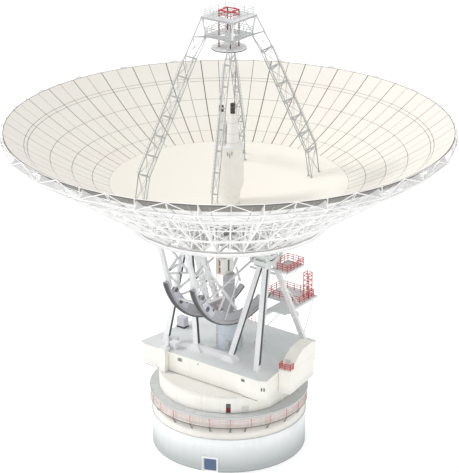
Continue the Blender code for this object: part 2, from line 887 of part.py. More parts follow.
def build_rim():
    """A ring truss: posts at each rib, and an inverted V in each bay. Returns its inner radius."""
    points, faces = [], []
    for bay in range(RIBS):
        azimuth = 360 / RIBS * bay
        points.append(on_circle(RIM_RADIUS, azimuth, RIM_BOTTOM))
        points.append(on_circle(RIM_RADIUS, azimuth, RIM_TOP))
        points.append(on_circle(RIM_RADIUS, azimuth + 180 / RIBS, RIM_TOP))
    count = len(points)
    for bay in range(RIBS):
        base, top, middle = 3 * bay, 3 * bay + 1, 3 * bay + 2
        next_base, next_top = (3 * bay + 3) % count, (3 * bay + 4) % count
        faces += [(base, middle, top), (base, next_base, middle), (next_base, next_top, middle)]
    rim = place(lattice("rim_truss", points, faces, RIM_BAR), "dish", WHITE)
    return min(vert.co.x for vert in rim.data.vertices if vert.co.x > 0 and abs(vert.co.y) < 0.5)


def inset_triangle(corners, inset):
    """A triangle whose sides lie inside the given one by a distance."""
    a, b, c = (Vector(corner) for corner in corners)
    sides = [(b - c).length, (c - a).length, (a - b).length]
    total = sum(sides)
    centre = (a * sides[0] + b * sides[1] + c * sides[2]) / total
    area = abs((b - a).cross(c - a)) / 2
    radius = 2 * area / total
    return [tuple(centre + (corner - centre) * (1 - inset / radius)) for corner in (a, b, c)]


def lower_chord(radius):
    if radius <= RING_RADIUS:
        return RING_TOP + GAP
    share = (radius - RING_RADIUS) / (RIM_RADIUS - RING_RADIUS)
    return RING_TOP + GAP + share * (RIM_BOTTOM - 0.1 - RING_TOP)


def rib_outline(tip):
    start = HUB_RADIUS + 0.03
    top = [(start, shell_underside(start) - GAP)]
    top += [(r, shell_underside(r) - GAP) for r in SHELL_STATIONS[1:-1]]
    top += [(DISH_RADIUS - 0.3, shell_underside(DISH_RADIUS - 0.3) - GAP)]
    bottom = [(start, lower_chord(start)), (RING_RADIUS, lower_chord(RING_RADIUS))]
    bottom += [(tip, lower_chord(tip)), (tip, lower_chord(tip) + 0.5)]
    return bottom + top[::-1]


def rib_holes():
    """The triangular gaps of a Warren truss between the lower chord and the shell."""
    low_nodes = [6.0, 10.5, 15.2, 21.5, 27.5, 32.6]
    high_nodes = [8.2, 12.8, 18.4, 24.6, 30.4]
    low = [(r, lower_chord(r) + RIB_BAR / 2) for r in low_nodes]
    high = [(r, shell_underside(r) - GAP - RIB_BAR / 2) for r in high_nodes]
    holes = []
    for i in range(len(high_nodes)):
        holes.append(inset_triangle((low[i], low[i + 1], high[i]), RIB_BAR / 2))
        if 0 < i < len(high_nodes) - 1:
            holes.append(inset_triangle((high[i], low[i + 1], high[i + 1]), RIB_BAR / 2))
    return holes


HOOPS = (20.9, 31.9)
SECTORS = 4


def build_back_frame(rim_inner_radius):
    """Four sectors of six radial ribs each, tied by level hoops along their lower chords."""
    per_sector = RIBS // SECTORS
    step = 360 / RIBS
    tip = rim_inner_radius - RIB_THICKNESS / 2 * math.tan(math.pi / RIBS) - GAP
    outline, holes = rib_outline(tip), rib_holes()
    for sector in range(SECTORS):
        first = sector * per_sector * step
        ribs = [
            upright_plate(f"rib_{sector}_{i}", outline, holes, RIB_THICKNESS, first + i * step)
            for i in range(per_sector)
        ]
        hoops = []
        for number, radius in enumerate(HOOPS):
            gap_angle = math.degrees(GAP / radius)
            azimuths = [first + i * step for i in range(per_sector)]
            ends = (first - step / 2 + gap_angle, first + (per_sector - 0.5) * step - gap_angle)
            shrink = math.cos(math.radians(step / 2))

            def hoop_line(reach):
                line = [on_circle(reach, azimuth) for azimuth in azimuths]
                return [on_circle(reach * shrink, ends[0]), *line, on_circle(reach * shrink, ends[1])]

            outer, inner = hoop_line(radius + 0.15), hoop_line(radius - 0.15)
            height = lower_chord(radius)
            hoops.append(
                slab(f"hoop_{sector}_{number}", outer + inner[::-1], [], height + 0.02, height + 0.22)
            )
        frame = welded(ribs[0], *ribs[1:], *hoops)
        frame.name = f"back_frame_{sector + 1}"
        place(frame, "dish", WHITE)


# Feed, quadripod and apex


def build_feed():
    base_z = HUB_TOP + GAP
    tower = turned_solid(
        "feed_tower",
        [
            (0, BARREL_TOP),
            (BARREL_RADIUS, BARREL_TOP),
            (BARREL_RADIUS, 44.5),
            (NECK_RADIUS, 42.5),
            (NECK_RADIUS, base_z),
            (0, base_z),
        ],
        32,
    )
    place(tower, "dish", WHITE)
    cones = [
        cylinder(
            f"cone_{i}",
            (*on_circle(CONE_OFFSET, 97 + 120 * i), (BARREL_TOP + 0.2 + CONE_TOP) / 2),
            0.98,
            CONE_TOP - BARREL_TOP - 0.2,
            20,
            top_radius=0.42,
        )
        for i in range(3)
    ]
    plate = cylinder(
        "feed_cones", (0, 0, BARREL_TOP + 0.15 + GAP), BARREL_RADIUS - 0.1, 0.3, 32
    )
    place(welded(plate, *cones), "dish", WHITE)


def shell_top(x, y):
    """The height of the faceted shell's upper face at a point."""
    step = 360 / DISH_SEGMENTS
    azimuth = math.degrees(math.atan2(y, x)) % step - step / 2
    radius = math.hypot(x, y) * math.cos(math.radians(azimuth)) / math.cos(math.radians(step / 2))
    return shell_underside(radius) + SHELL_THICKNESS


def leg_lattice(foot_lift, tip_drop):
    """Three chords with battens: a steep bay on the shell, a long leaning run, and a tip bay."""
    knee, bend = Vector(LEG_KNEE), Vector(LEG_BEND)
    radial = Vector((knee.x - bend.x, knee.y - bend.y, 0)).normalized()
    lateral = Vector((-radial.y, radial.x, 0))

    def triangle(centre):
        inside = centre - radial * LEG_DEPTH * 0.4
        return [
            centre + radial * LEG_DEPTH * 0.6,
            inside + lateral * LEG_SPREAD / 2,
            inside - lateral * LEG_SPREAD / 2,
        ]

    foot = triangle(Vector((*LEG_FOOT, 0)))
    stations = [[Vector((p.x, p.y, shell_top(p.x, p.y) + foot_lift)) for p in foot]]
    stations += [triangle(knee.lerp(bend, i / LEG_BAYS)) for i in range(LEG_BAYS + 1)]
    tip_z = APEX_LOW_Z - APEX_PLATE - tip_drop
    stations.append([Vector((x, y, tip_z)) for x, y in LEG_TIPS])
    points = [point for station in stations for point in station]
    faces = []
    for bay in range(len(stations) - 1):
        for side in range(3):
            a, b = 3 * bay + side, 3 * bay + (side + 1) % 3
            faces.append((a, b, b + 3, a + 3))
    return lattice("quadripod_leg", points, faces, LEG_BAR)


def build_quadripod():
    """Four triangular lattice legs. Each is let down until it just stands on the shell."""
    trial = leg_lattice(0.5, 0.2)
    heights = [v.co.z - shell_top(v.co.x, v.co.y) for v in trial.data.vertices if v.co.z < 46]
    tip = max(v.co.z for v in trial.data.vertices)
    bpy.data.objects.remove(trial, do_unlink=True)
    foot_lift = 0.5 - (min(heights) - GAP)
    leg = leg_lattice(foot_lift, 0.2 + tip - (APEX_LOW_Z - APEX_PLATE - GAP))
    for number, (sx, sy) in enumerate(((1, 1), (-1, 1), (-1, -1), (1, -1))):
        mesh = leg.data.copy()
        mesh.transform(Matrix.Diagonal((sx, sy, 1, 1)))
        if sx * sy < 0:
            mesh.flip_normals()
        copy = bpy.data.objects.new(f"quadripod_leg_{number + 1}", mesh)
        bpy.context.scene.collection.objects.link(copy)
        place(copy, "dish", WHITE)
    bpy.data.objects.remove(leg, do_unlink=True)


def square(half):
    return [(-half, -half), (half, -half), (half, half), (-half, half)]


def build_apex():
    hoist = build_hoist()
    opening = max(vert.co.x for vert in hoist.data.vertices) + GAP
    lower = slab(
        "apex_lower_platform",
        square(APEX_LOW_HALF),
        [square(opening)],
        APEX_LOW_Z - APEX_PLATE,
        APEX_LOW_Z,
    )
    upper = slab(
        "apex_upper_platform",
        square(APEX_TOP_HALF),
        [square(opening)],
        APEX_TOP_Z - APEX_PLATE,
        APEX_TOP_Z,
    )
    low_z, high_z = APEX_LOW_Z - 0.05, APEX_TOP_Z - APEX_PLATE + 0.05
    posts = [
        leaning_post(
            f"apex_post_{i}",
            (x, y, low_z),
            (0.22, 0.22),
            (x * 1.12, y * 1.12, high_z),
            (0.22, 0.22),
        )
        for i, (x, y) in enumerate(square(APEX_LOW_HALF - 0.15))
    ]
    frame = welded(lower, upper, *posts)
    frame.name = "apex_frame"
    place(frame, "dish", WHITE)
    rail = railing(
        "apex_rail", square(APEX_TOP_HALF - 0.12), APEX_TOP_Z, RAIL_HEIGHT, 2.0, 0.1
    )
    place(rail, "dish", WHITE)
    subreflector = turned_solid(
        "subreflector",
        [
            (0, SUBREFLECTOR_TOP),
            (SUBREFLECTOR_RADIUS, SUBREFLECTOR_TOP),
            (SUBREFLECTOR_RADIUS, 66.15),
            (2.0, 65.85),
            (1.0, 65.6),
            (0, 65.5),
        ],
        32,
    )
    place(subreflector, "dish", WHITE)


def build_hoist():
    """The red hoist frame: four posts from the subreflector up through both platforms."""
    points, faces = [], []
    levels = (SUBREFLECTOR_TOP, 69.5, 72.6)
    for z in levels:
        points += [(x, y, z) for x, y in square(HOIST_HALF)]
    for level in range(len(levels) - 1):
        for i in range(4):
            j = (i + 1) % 4
            a, b = 4 * level + i, 4 * level + j
            faces.append((a, b, b + 4, a + 4))
    frame = set_down(lattice("hoist_frame", points, faces, HOIST_BAR), SUBREFLECTOR_TOP)
    return place(frame, "dish", RED)


build_pedestal()
build_base()
build_towers()
build_platforms()
build_centre()
build_girder()
build_wheels()
build_ring()
build_reflector()
build_feed()
build_quadripod()
build_apex()

for piece in PIECES.objects:
    if piece.type == "MESH" and piece.name in bpy.context.scene.collection.objects:
        bpy.context.scene.collection.objects.unlink(piece)
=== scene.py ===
"""Looks of the steerable dish: fine panels, real bracing, fittings, paint, light and camera.

Dimensions are full-size metres, as in the part's source, and SCALE brings them to the model.
"""

from functools import partial
from math import atan2, cos, degrees, pi, radians, sin

import bmesh
import bpy
from mathutils import Matrix, Vector


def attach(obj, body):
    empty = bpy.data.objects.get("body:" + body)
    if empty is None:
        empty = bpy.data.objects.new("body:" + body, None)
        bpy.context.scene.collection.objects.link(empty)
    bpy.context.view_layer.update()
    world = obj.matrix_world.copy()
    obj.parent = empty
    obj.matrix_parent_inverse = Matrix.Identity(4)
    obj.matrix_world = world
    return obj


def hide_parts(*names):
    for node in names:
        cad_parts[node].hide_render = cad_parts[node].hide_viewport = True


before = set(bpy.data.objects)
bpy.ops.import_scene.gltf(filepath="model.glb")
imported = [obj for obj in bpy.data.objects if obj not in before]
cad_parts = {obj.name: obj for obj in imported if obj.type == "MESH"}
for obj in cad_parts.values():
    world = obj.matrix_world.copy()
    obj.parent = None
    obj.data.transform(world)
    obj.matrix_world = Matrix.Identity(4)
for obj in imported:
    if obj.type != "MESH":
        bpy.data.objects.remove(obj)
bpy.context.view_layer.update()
scene = bpy.context.scene

SCALE = 0.5

# Sizes, most of them shared with the solids
AXIS_Z = 35.2
VERTEX_Z = 41.0
FOCAL_LENGTH = 23.38
DISH_RADIUS = 34.6
INNER_ZONE = 18.6
CENTRE_HOLE = 1.8
RIBS = 24
RIB_STEP = 360 / RIBS
RING_RADIUS = 15.2
RING_BOTTOM = 38.1
RING_TOP = 38.7
RIM_RADIUS = 35.0
RIM_TOP = 54.0
RIM_BOTTOM = 52.07
HUB_RADIUS = 4.6
HUB_TOP = 40.65
DECK_TOP = 16.35
DECK_FRONT_Y = -7.6
HOUSE_BOTTOM = 12.8
GALLERY_Z = 8.05
GALLERY_RADIUS = 12.66
GALLERY_RAIL = 1.35
WHEEL_X = 2.6
WHEEL_RADIUS = 13.5
WHEEL_WEB = 1.8
WHEEL_FIRST = -162.0
WHEEL_LAST = -58.0
BOX_FIRST = -151.0
BOX_LAST = -67.0
WHEEL_TEETH = 110
BARREL_RADIUS = 2.3
BARREL_TOP = 50.5
CONE_OFFSET = 1.15
LEG_FOOT = (6.97, 13.06)
LEG_KNEE = (6.64, 12.53, 47.7)
LEG_BEND = (3.29, 5.08, 65.2)
LEG_BAYS = 6
LEG_DEPTH = 2.0
LEG_SPREAD = 0.9
LEG_WEB = 0.065
BATTEN_RISE = 0.45
BATTEN_DROP = 0.35
CABLE_RUNGS = 34
APEX_TOP_Z = 71.1
APEX_LOW_Z = 68.2
APEX_TOP_HALF = 3.07
APEX_LOW_HALF = 2.7
APEX_PLATE = 0.25
APEX_RAIL = 1.13
HATCH_HALF = 1.35
SUB_TOP = 66.3
HOIST_TOP = 72.1
HOIST_HALF = 1.08
DOOR_AZIMUTH = -67.0
PORCH_AZIMUTH = -53.5
LOUVRE_AZIMUTH = -40
SKIRT_RADIUS = 11.3
UPPER_FLOOR = 31.4
LOWER_FLOOR = 22.3
HUT_FRONT_Y = -3.0
HUT_EDGE_X = 11.97
BEARING_X = 7.4
BEARING_HALF = 1.0
FEET = {
    "front_inner": ((3.3, -4.1), (6.95, -1.1)),
    "front_outer": ((9.1, -4.85), (7.95, -1.1)),
    "back_outer": ((9.7, 7.7), (7.95, 1.1)),
    "back_inner": ((3.3, 3.9), (6.95, 1.1)),
}
LEG_SECTION = (0.95, 0.6)
LEG_TOP_SECTION = (0.85, 0.55)
LEG_TOP = 32.6
X_AXIS = (1, 0, 0)

# Panels of the reflector and nodes of the trusses behind it
PANEL_JOINTS = (INNER_ZONE, 21.2, 24.3, 27.6, 31.0, 31.5, DISH_RADIUS)
PANEL_SECTORS = 72
PANEL_THICKNESS = 0.05
WIDE_SEAM = 0.16
NARROW_SEAM = 0.09
HOOP_SEAM = 0.075
LOW_NODES = (6.0, 10.5, 15.2, 21.5, 27.5, 32.6)
HIGH_NODES = (8.2, 12.8, 18.4, 24.6, 30.4)

# Meshes, light and camera
MERGE = 0.00001
SHARP_ANGLE = 35
DISH_STEPS = 144
DRUM_STEPS = 96
STEEP = 0.99
FLOOR_GLOW = 0.42
FLOOR_REACH = 900
ROOM_LIGHT = 0.92
KEY_LIGHT = 1.05
KEY_LIGHT_FROM = (-0.82, -0.43, 0.92)
LENS = 147.7
LENS_SHIFT = 0.0012
CAMERA_PLACE = (85.3, -113.2, 74.5)
CAMERA_DIP = 21.86
CAMERA_TURN = 37


# Materials


class Surface:
    """A material's node tree, written step by step in the object's own coordinates."""

    def __init__(self, name, colour, roughness):
        self.material = bpy.data.materials.new(name)
        self.material.use_nodes = True
        self.tree = self.material.node_tree
        self.shader = self.tree.nodes["Principled BSDF"]
        self.colour = (*colour, 1)
        self.shader.inputs["Base Color"].default_value = self.colour
        self.shader.inputs["Roughness"].default_value = roughness
        self.place = self.node("TexCoord", {}, "Object")

    def feed(self, socket, value):
        if isinstance(value, bpy.types.NodeSocket):
            self.tree.links.new(value, socket)
        else:
            socket.default_value = value

    def node(self, kind, inputs, output, operation=None):
        """Add a node, feed its inputs by name or number, and return one of its outputs."""
        node = self.tree.nodes.new("ShaderNode" + kind)
        if operation:
            node.operation = operation
        for name, value in inputs.items():
            self.feed(node.inputs[name], value)
        return node.outputs[output]

    def noise(self, scale, detail=4.0, stretch=(1, 1, 1)):
        place = self.node("Mapping", {"Vector": self.place, "Scale": stretch}, "Vector")
        return self.node("TexNoise", {"Vector": place, "Scale": scale, "Detail": detail}, "Fac")

    def between(self, value, low, high, to_low, to_high):
        ranges = {"From Min": low, "From Max": high, "To Min": to_low, "To Max": to_high}
        return self.node("MapRange", {"Value": value, **ranges}, "Result")

    def blend(self, value, low, high, colour, amount=1.0):
        """Lay a colour over what is there, more and more as the value goes from low to high."""
        node = self.tree.nodes.new("ShaderNodeMix")
        node.data_type = "RGBA"
        self.feed(node.inputs["Factor"], self.between(value, low, high, 0, amount))
        self.feed(node.inputs["A"], self.colour)
        self.feed(node.inputs["B"], (*colour, 1))
        self.colour = node.outputs["Result"]
        return self

    def patches(self, colour, scale, low, high, amount=1.0, stretch=(1, 1, 1)):
        """Clouded patches of another colour."""
        return self.blend(self.noise(scale, 5.0, stretch), low, high, colour, amount)

    def height(self, *change):
        """Another colour that comes in from one height to another."""
        return self.blend(self.node("SeparateXYZ", {"Vector": self.place}, "Z"), *change)

    def outward(self, *change):
        """Another colour that comes in from one distance from the axis to another."""
        flat = self.node("VectorMath", {0: self.place, 1: (1, 1, 0)}, "Vector", "MULTIPLY")
        return self.blend(self.node("VectorMath", {0: flat}, "Value", "LENGTH"), *change)

    def done(self, rough_low, rough_high, bump=0.05, bump_scale=30.0):
        """Finish the surface with uneven gloss and a fine bump, and return its material."""
        self.feed(self.shader.inputs["Base Color"], self.colour)
        rough = self.between(self.noise(6.0), 0.3, 0.7, rough_low, rough_high)
        self.feed(self.shader.inputs["Roughness"], rough)
        grain = {"Height": self.noise(bump_scale, 3.0), "Strength": bump, "Distance": 0.01}
        self.feed(self.shader.inputs["Normal"], self.node("Bump", grain, "Normal"))
        return self.material


def paint(name, colour, soil, roughness=0.45, streak=0.35):
    """Brushed or sprayed paint on steel, a little clouded, with faint run marks."""
    surface = Surface(name, colour, roughness)
    surface.patches([c * 0.93 for c in colour], 0.9, 0.4, 0.75)
    surface.patches(soil, 1.6, 0.56, 0.8, streak, (2.4, 2.4, 0.22))
    return surface.done(roughness - 0.08, roughness + 0.14)


INNER_CREAM = (
    Surface("reflector_inner_cream", (0.88, 0.85, 0.78), 0.5)
    .patches((0.9, 0.85, 0.78), 0.16, 0.45, 0.65, 0.6)
    .patches((0.87, 0.86, 0.79), 0.5, 0.5, 0.75, 0.5)
    .done(0.42, 0.6, 0.03)
)
OUTER_CREAM = (
    Surface("reflector_outer_cream", (0.86, 0.83, 0.76), 0.55)
    .patches((0.85, 0.78, 0.73), 0.22, 0.45, 0.62, 0.6)
    .patches((0.82, 0.82, 0.75), 0.7, 0.5, 0.75, 0.6)
    .outward(9.0, 17.4, (0.82, 0.81, 0.77), 0.3)
    .done(0.45, 0.65, 0.04)
)
# The back of the reflector: pale inside, and dark grey-brown in the outermost strip, which is painted shade
UNDERSIDE = (
    Surface("reflector_underside", (0.96, 0.96, 0.95), 0.6)
    .patches((0.86, 0.86, 0.84), 0.7, 0.42, 0.72, 0.6)
    .outward(15.95, 16.2, (0.24, 0.23, 0.21))
    .done(0.5, 0.75, 0.05)
)
# Painted concrete: bluish white with grey patches, greyer towards the foot and darkest along the very foot:
# painted shade
WALL = (
    Surface("drum_concrete", (0.86, 0.89, 0.9), 0.8)
    .patches((0.8, 0.83, 0.84), 0.5, 0.42, 0.72, 0.6)
    .height(2.4, 0.4, (0.37, 0.4, 0.4), 0.85)
    .patches((0.42, 0.45, 0.44), 0.35, 0.56, 0.78, 0.35, (1, 1, 0.5))
    .height(0.16, 0.04, (0.3, 0.32, 0.32), 0.6)
    .done(0.7, 0.92, 0.15, 14.0)
)
# The sloping band: cream, with brown-grey weathering streaks and a painted shadow under the gallery
BAND = (
    Surface("band_cream", (0.9, 0.88, 0.83), 0.75)
    .patches((0.82, 0.79, 0.73), 0.9, 0.42, 0.7, 0.6)
    .height(3.25, 3.8, (0.3, 0.27, 0.24), 0.85)
    .height(3.98, 4.02, (0.92, 0.9, 0.87), 1.0)
    .patches((0.5, 0.45, 0.4), 1.3, 0.6, 0.8, 0.5, (1.6, 1.6, 0.25))
    .done(0.65, 0.9, 0.12, 16.0)
)
IVORY = (
    Surface("house_ivory", (0.9, 0.89, 0.83), 0.5)
    .patches((0.86, 0.85, 0.79), 0.7, 0.42, 0.72, 0.7)
    .patches((0.74, 0.72, 0.67), 1.8, 0.62, 0.82, 0.3, (2.2, 2.2, 0.18))
    # painted shade: darker towards the foot of the house walls
    .height(7.1, 6.5, (0.66, 0.65, 0.62), 0.5)
    .done(0.45, 0.68, 0.06)
)
SKIRT_IVORY = (
    Surface("skirt_ivory", (0.9, 0.89, 0.83), 0.5)
    .patches((0.84, 0.83, 0.78), 0.8, 0.42, 0.72, 0.7)
    # painted shade: darker towards the skirt's foot, by the pedestal roof
    .height(5.3, 5.02, (0.62, 0.6, 0.56), 0.5)
    # painted shade: darker at the skirt's top, under the house
    .height(6.1, 6.4, (0.6, 0.59, 0.56), 0.55)
    .done(0.45, 0.68, 0.06)
)
DECK = (
    Surface("deck_grey", (0.72, 0.75, 0.75), 0.7)
    .patches((0.64, 0.67, 0.67), 0.6, 0.42, 0.7, 0.7)
    .patches((0.8, 0.82, 0.82), 2.4, 0.55, 0.75, 0.6)
    .done(0.6, 0.88, 0.2, 22.0)
)
ROOF = (
    Surface("roof_light_coating", (0.55, 0.57, 0.57), 0.75)
    .patches((0.63, 0.63, 0.62), 0.5, 0.42, 0.7, 0.8)
    .patches((0.46, 0.46, 0.45), 2.0, 0.58, 0.78, 0.5)
    .done(0.62, 0.9, 0.2, 20.0)
)
# seam brown, also used for the painted shadow line at the gallery
SEAM_AND_SHADOW = paint("seam_and_painted_shadow_brown", (0.16, 0.145, 0.13), (0.1, 0.09, 0.08), 0.6)
WHITE = paint("structure_white", (0.85, 0.86, 0.87), (0.62, 0.61, 0.58))
BRIGHT = paint("lattice_white", (0.94, 0.94, 0.94), (0.84, 0.84, 0.83), 0.5, 0.2)
LEG_PAINT = paint("quadripod_grey_white", (0.5, 0.52, 0.52), (0.4, 0.41, 0.4), 0.5)
GREY = paint("machinery_grey", (0.46, 0.46, 0.48), (0.3, 0.29, 0.29))
DARK = paint("dark_grey_steel", (0.13, 0.13, 0.14), (0.2, 0.19, 0.18), 0.5)
RED = paint("handrail_red", (0.58, 0.035, 0.035), (0.42, 0.06, 0.05), 0.42)
PINK = paint("faded_rail_red", (0.66, 0.3, 0.27), (0.6, 0.42, 0.38), 0.5)
BLUE = paint("shutter_blue", (0.12, 0.19, 0.32), (0.24, 0.3, 0.4), 0.45, 0.7)
LIGHT_BLUE = paint("drum_light_blue", (0.66, 0.72, 0.78), (0.5, 0.55, 0.6))
LAVENDER = paint("plate_lavender", (0.62, 0.62, 0.7), (0.45, 0.45, 0.5))
OLIVE = paint("cone_tip_olive", (0.05, 0.05, 0.035), (0.1, 0.1, 0.07), 0.55)
PALE_GREY = paint("fittings_pale_grey", (0.66, 0.66, 0.64), (0.55, 0.55, 0.53), 0.5)
WHEEL_GREY = paint("wheel_mid_grey", (0.48, 0.48, 0.5), (0.36, 0.36, 0.37))
TUBE_WHITE = paint("tube_white", (0.74, 0.75, 0.76), (0.52, 0.52, 0.52))
BEARING_PAINT = paint("bearing_grey_green", (0.72, 0.76, 0.74), (0.55, 0.58, 0.57))
# painted shade: dark sheets on the side faces of the front legs
LEG_SIDE_SHADE = paint("leg_side_painted_shade", (0.07, 0.08, 0.08), (0.12, 0.12, 0.12), 0.5)
# a greyer, mottled copy of the white for the back outer legs: painted shade
MOTTLED = paint("leg_mottled_grey", (0.78, 0.78, 0.77), (0.5, 0.5, 0.49), 0.5, 0.75)
HOIST_RED = paint("hoist_dark_red", (0.24, 0.02, 0.025), (0.3, 0.08, 0.07))
RAIL_GREY = paint("rail_grey_green", (0.5, 0.56, 0.55), (0.42, 0.46, 0.45), 0.5)
PALE_PINK = paint("faded_rail_pink", (0.78, 0.58, 0.55), (0.7, 0.5, 0.46), 0.5)
WARM_WHITE = paint("feed_white", (0.88, 0.87, 0.84), (0.68, 0.64, 0.6), 0.42)


# Shapes

CORNERS = ((-1, -1), (1, -1), (1, 1), (-1, 1))


def up(height):
    return Vector((0, 0, height))


def polar(radius, angle, height=None):
    """A point about the vertical axis: (x, y), or a vector when a height is given."""
    turn = radians(angle)
    x, y = radius * cos(turn), radius * sin(turn)
    return (x, y) if height is None else Vector((x, y, height))


def square(half, z):
    return [Vector((x * half, y * half, z)) for x, y in CORNERS]


def loop(points):
    """Each point with the next one, and the last one with the first."""
    return list(zip(points, points[1:] + points[:1]))


def spread(low, high, count):
    """Evenly spaced values, with both ends."""
    return [low + (high - low) * i / (count - 1) for i in range(count)]


class Shape:
    """Bars, plates and turned forms in full-size metres, gathered into one piece."""

    def __init__(self):
        self.bm = bmesh.new()

    def loft(self, rings, looped=False, closed=True):
        """A skin over rings of equal length, with end caps unless it is looped."""
        rows = [[self.bm.verts.new(point) for point in ring] for ring in rings]
        for one, two in loop(rows) if looped else zip(rows, rows[1:]):
            for i in range(len(one) if closed else len(one) - 1):
                j = (i + 1) % len(one)
                self.bm.faces.new((one[i], one[j], two[j], two[i]))
        if not looped:
            self.bm.faces.new(rows[0][::-1])
            self.bm.faces.new(rows[-1])
        return self

    def tube(self, points, width, sides=8, depth=None):
        """A bar along a line of points. With four sides it is flat, width across and depth upright."""
        points = [Vector(point) for point in points]
        rings = []
        for i, point in enumerate(points):
            along = (points[min(i + 1, len(points) - 1)] - points[max(i - 1, 0)]).normalized()
            across = along.cross(Vector(X_AXIS) if abs(along.z) > STEEP else up(1)).normalized()
            across, rise = across * width / 2, across.cross(along) * (depth or width) / 2
            angles = [2 * pi * (k + 0.5) / sides for k in range(sides)]
            shares = CORNERS if sides == 4 else [(cos(a), sin(a)) for a in angles]
            rings.append([point + (across * a + rise * b) for a, b in shares])
        return self.loft(rings)

    def bar(self, start, end, width, depth=None):
        """A straight flat bar."""
        return self.tube([start, end], width, 4, depth)

    def rod(self, start, end, width, sides=6):
        """A straight round bar."""
        return self.tube([start, end], width, sides)

    def disc(self, centre, radius, thickness, axis, steps=16):
        """A short round plate whose middle is at centre."""
        half = Vector(axis).normalized() * thickness / 2
        return self.rod(Vector(centre) - half, Vector(centre) + half, radius * 2, steps)

    def box(self, low, high, turn=None):
        (x0, y0, z0), (x1, y1, z1) = low, high
        corners = ((x0, y0), (x1, y0), (x1, y1), (x0, y1))
        rings = [[Vector((x, y, z)) for x, y in corners] for z in (z0, z1)]
        return self.loft([[turn @ p for p in ring] for ring in rings] if turn else rings)

    def turned(self, profile, steps, centre=(0, 0), closed=True):
        """A form of revolution about an upright axis, from (radius, height) points."""
        x, y = centre
        rings = []
        for i in range(steps):
            c, s = polar(1, 360 * i / steps)
            rings.append([(x + r * c, y + r * s, z) for r, z in profile])
        return self.loft(rings, looped=True, closed=closed)

    def band(self, inner, outer, z, half, steps, centre=(0, 0)):
        """A thin hoop about an upright axis, as far above z as below it."""
        low, high = z - half, z + half
        return self.turned([(inner, high), (outer, high), (outer, low), (inner, low)], steps, centre)

    def ladder(self, x0, x1, y, low, high, stile, rungs, rung):
        """Two upright stiles and a rung at each height of the list."""
        for x in (x0, x1):
            self.rod((x, y, low), (x, y, high), stile)
        for z in rungs:
            self.rod((x0, y, z), (x1, y, z), rung)
        return self


def shapes(count):
    return [Shape() for _ in range(count)]


def piece(body, shape, name, material, replaces=(), slot=None, bevel=0.0):
    """Make the gathered shape a piece that rides on a body."""
    bm = shape.bm
    bmesh.ops.remove_doubles(bm, verts=bm.verts, dist=MERGE)
    bmesh.ops.dissolve_degenerate(bm, edges=bm.edges, dist=MERGE)
    bmesh.ops.recalc_face_normals(bm, faces=bm.faces)
    bmesh.ops.scale(bm, vec=[SCALE] * 3, verts=bm.verts)
    mesh = bpy.data.meshes.new(name)
    bm.to_mesh(mesh)
    bm.free()
    mesh.shade_smooth()
    mesh.set_sharp_from_angle(angle=radians(SHARP_ANGLE))
    obj = bpy.data.objects.new(name, mesh)
    scene.collection.objects.link(obj)
    mesh.materials.append(material)
    if bevel:
        rounding = obj.modifiers.new("rounded_edges", "BEVEL")
        rounding.width = bevel * SCALE
        rounding.segments = 2
        rounding.limit_method = "ANGLE"
    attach(obj, body)
    if replaces:
        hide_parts(*replaces)


on_pedestal = partial(piece, "pedestal")
on_alidade = partial(piece, "alidade")
on_dish = partial(piece, "dish")


def rail_run(shape, line, foot, height, bar, spacing, levels=(0.36, 0.68, 1.0)):
    """A handrail with posts along a level line of (x, y) points."""
    points = [Vector((*p, foot)) for p in line]
    for start, end in zip(points, points[1:]):
        count = max(1, round((end - start).length / spacing))
        for i in range(count + 1):
            post = start.lerp(end, i / count)
            shape.rod(post, post + up(height), bar)
        for level in levels:
            rise = up(height * level)
            shape.rod(start + rise, end + rise, bar)


# Reflector


def dish_z(radius):
    return VERTEX_Z + radius**2 / (4 * FOCAL_LENGTH)


def lower_chord(radius):
    """The height of the back frame's lower chord."""
    share = max(0, (radius - RING_RADIUS) / (RIM_RADIUS - RING_RADIUS))
    return RING_TOP + share * (RIM_BOTTOM - 0.1 - RING_TOP)


def panel(shape, first, last, inner, outer, start_seam, end_seam):
    """One curved panel, held back from its neighbours by half a seam on each side."""
    rows = []
    for radius in spread(inner + HOOP_SEAM / 2, outer - HOOP_SEAM / 2, 5):
        low = first + degrees(start_seam / 2 / radius)
        high = last - degrees(end_seam / 2 / radius)
        azimuths = (low, (low + high) / 2, high)
        rows.append([polar(radius, angle, dish_z(radius)) for angle in azimuths])
    top = [[shape.bm.verts.new(p) for p in row] for row in rows]
    under = [[shape.bm.verts.new(p - up(PANEL_THICKNESS)) for p in row] for row in rows]
    for i in range(4):
        for j in range(2):
            shape.bm.faces.new((top[i][j], top[i + 1][j], top[i + 1][j + 1], top[i][j + 1]))
    edge = [(i, 0) for i in range(5)] + [(4, 1), (4, 2)] + [(i, 2) for i in (3, 2, 1, 0)] + [(0, 1)]
    for (a, b), (c, d) in loop(edge):
        shape.bm.faces.new((top[a][b], top[c][d], under[c][d], under[a][b]))


def skin(radii, top, bottom, coarse=1):
    """A turned layer between two depths under the surface of the dish."""
    above = [(r, dish_z(r) - top) for r in radii]
    below = [(r, dish_z(r) - bottom) for r in radii[::-coarse]]
    return Shape().turned(above + below, DISH_STEPS)


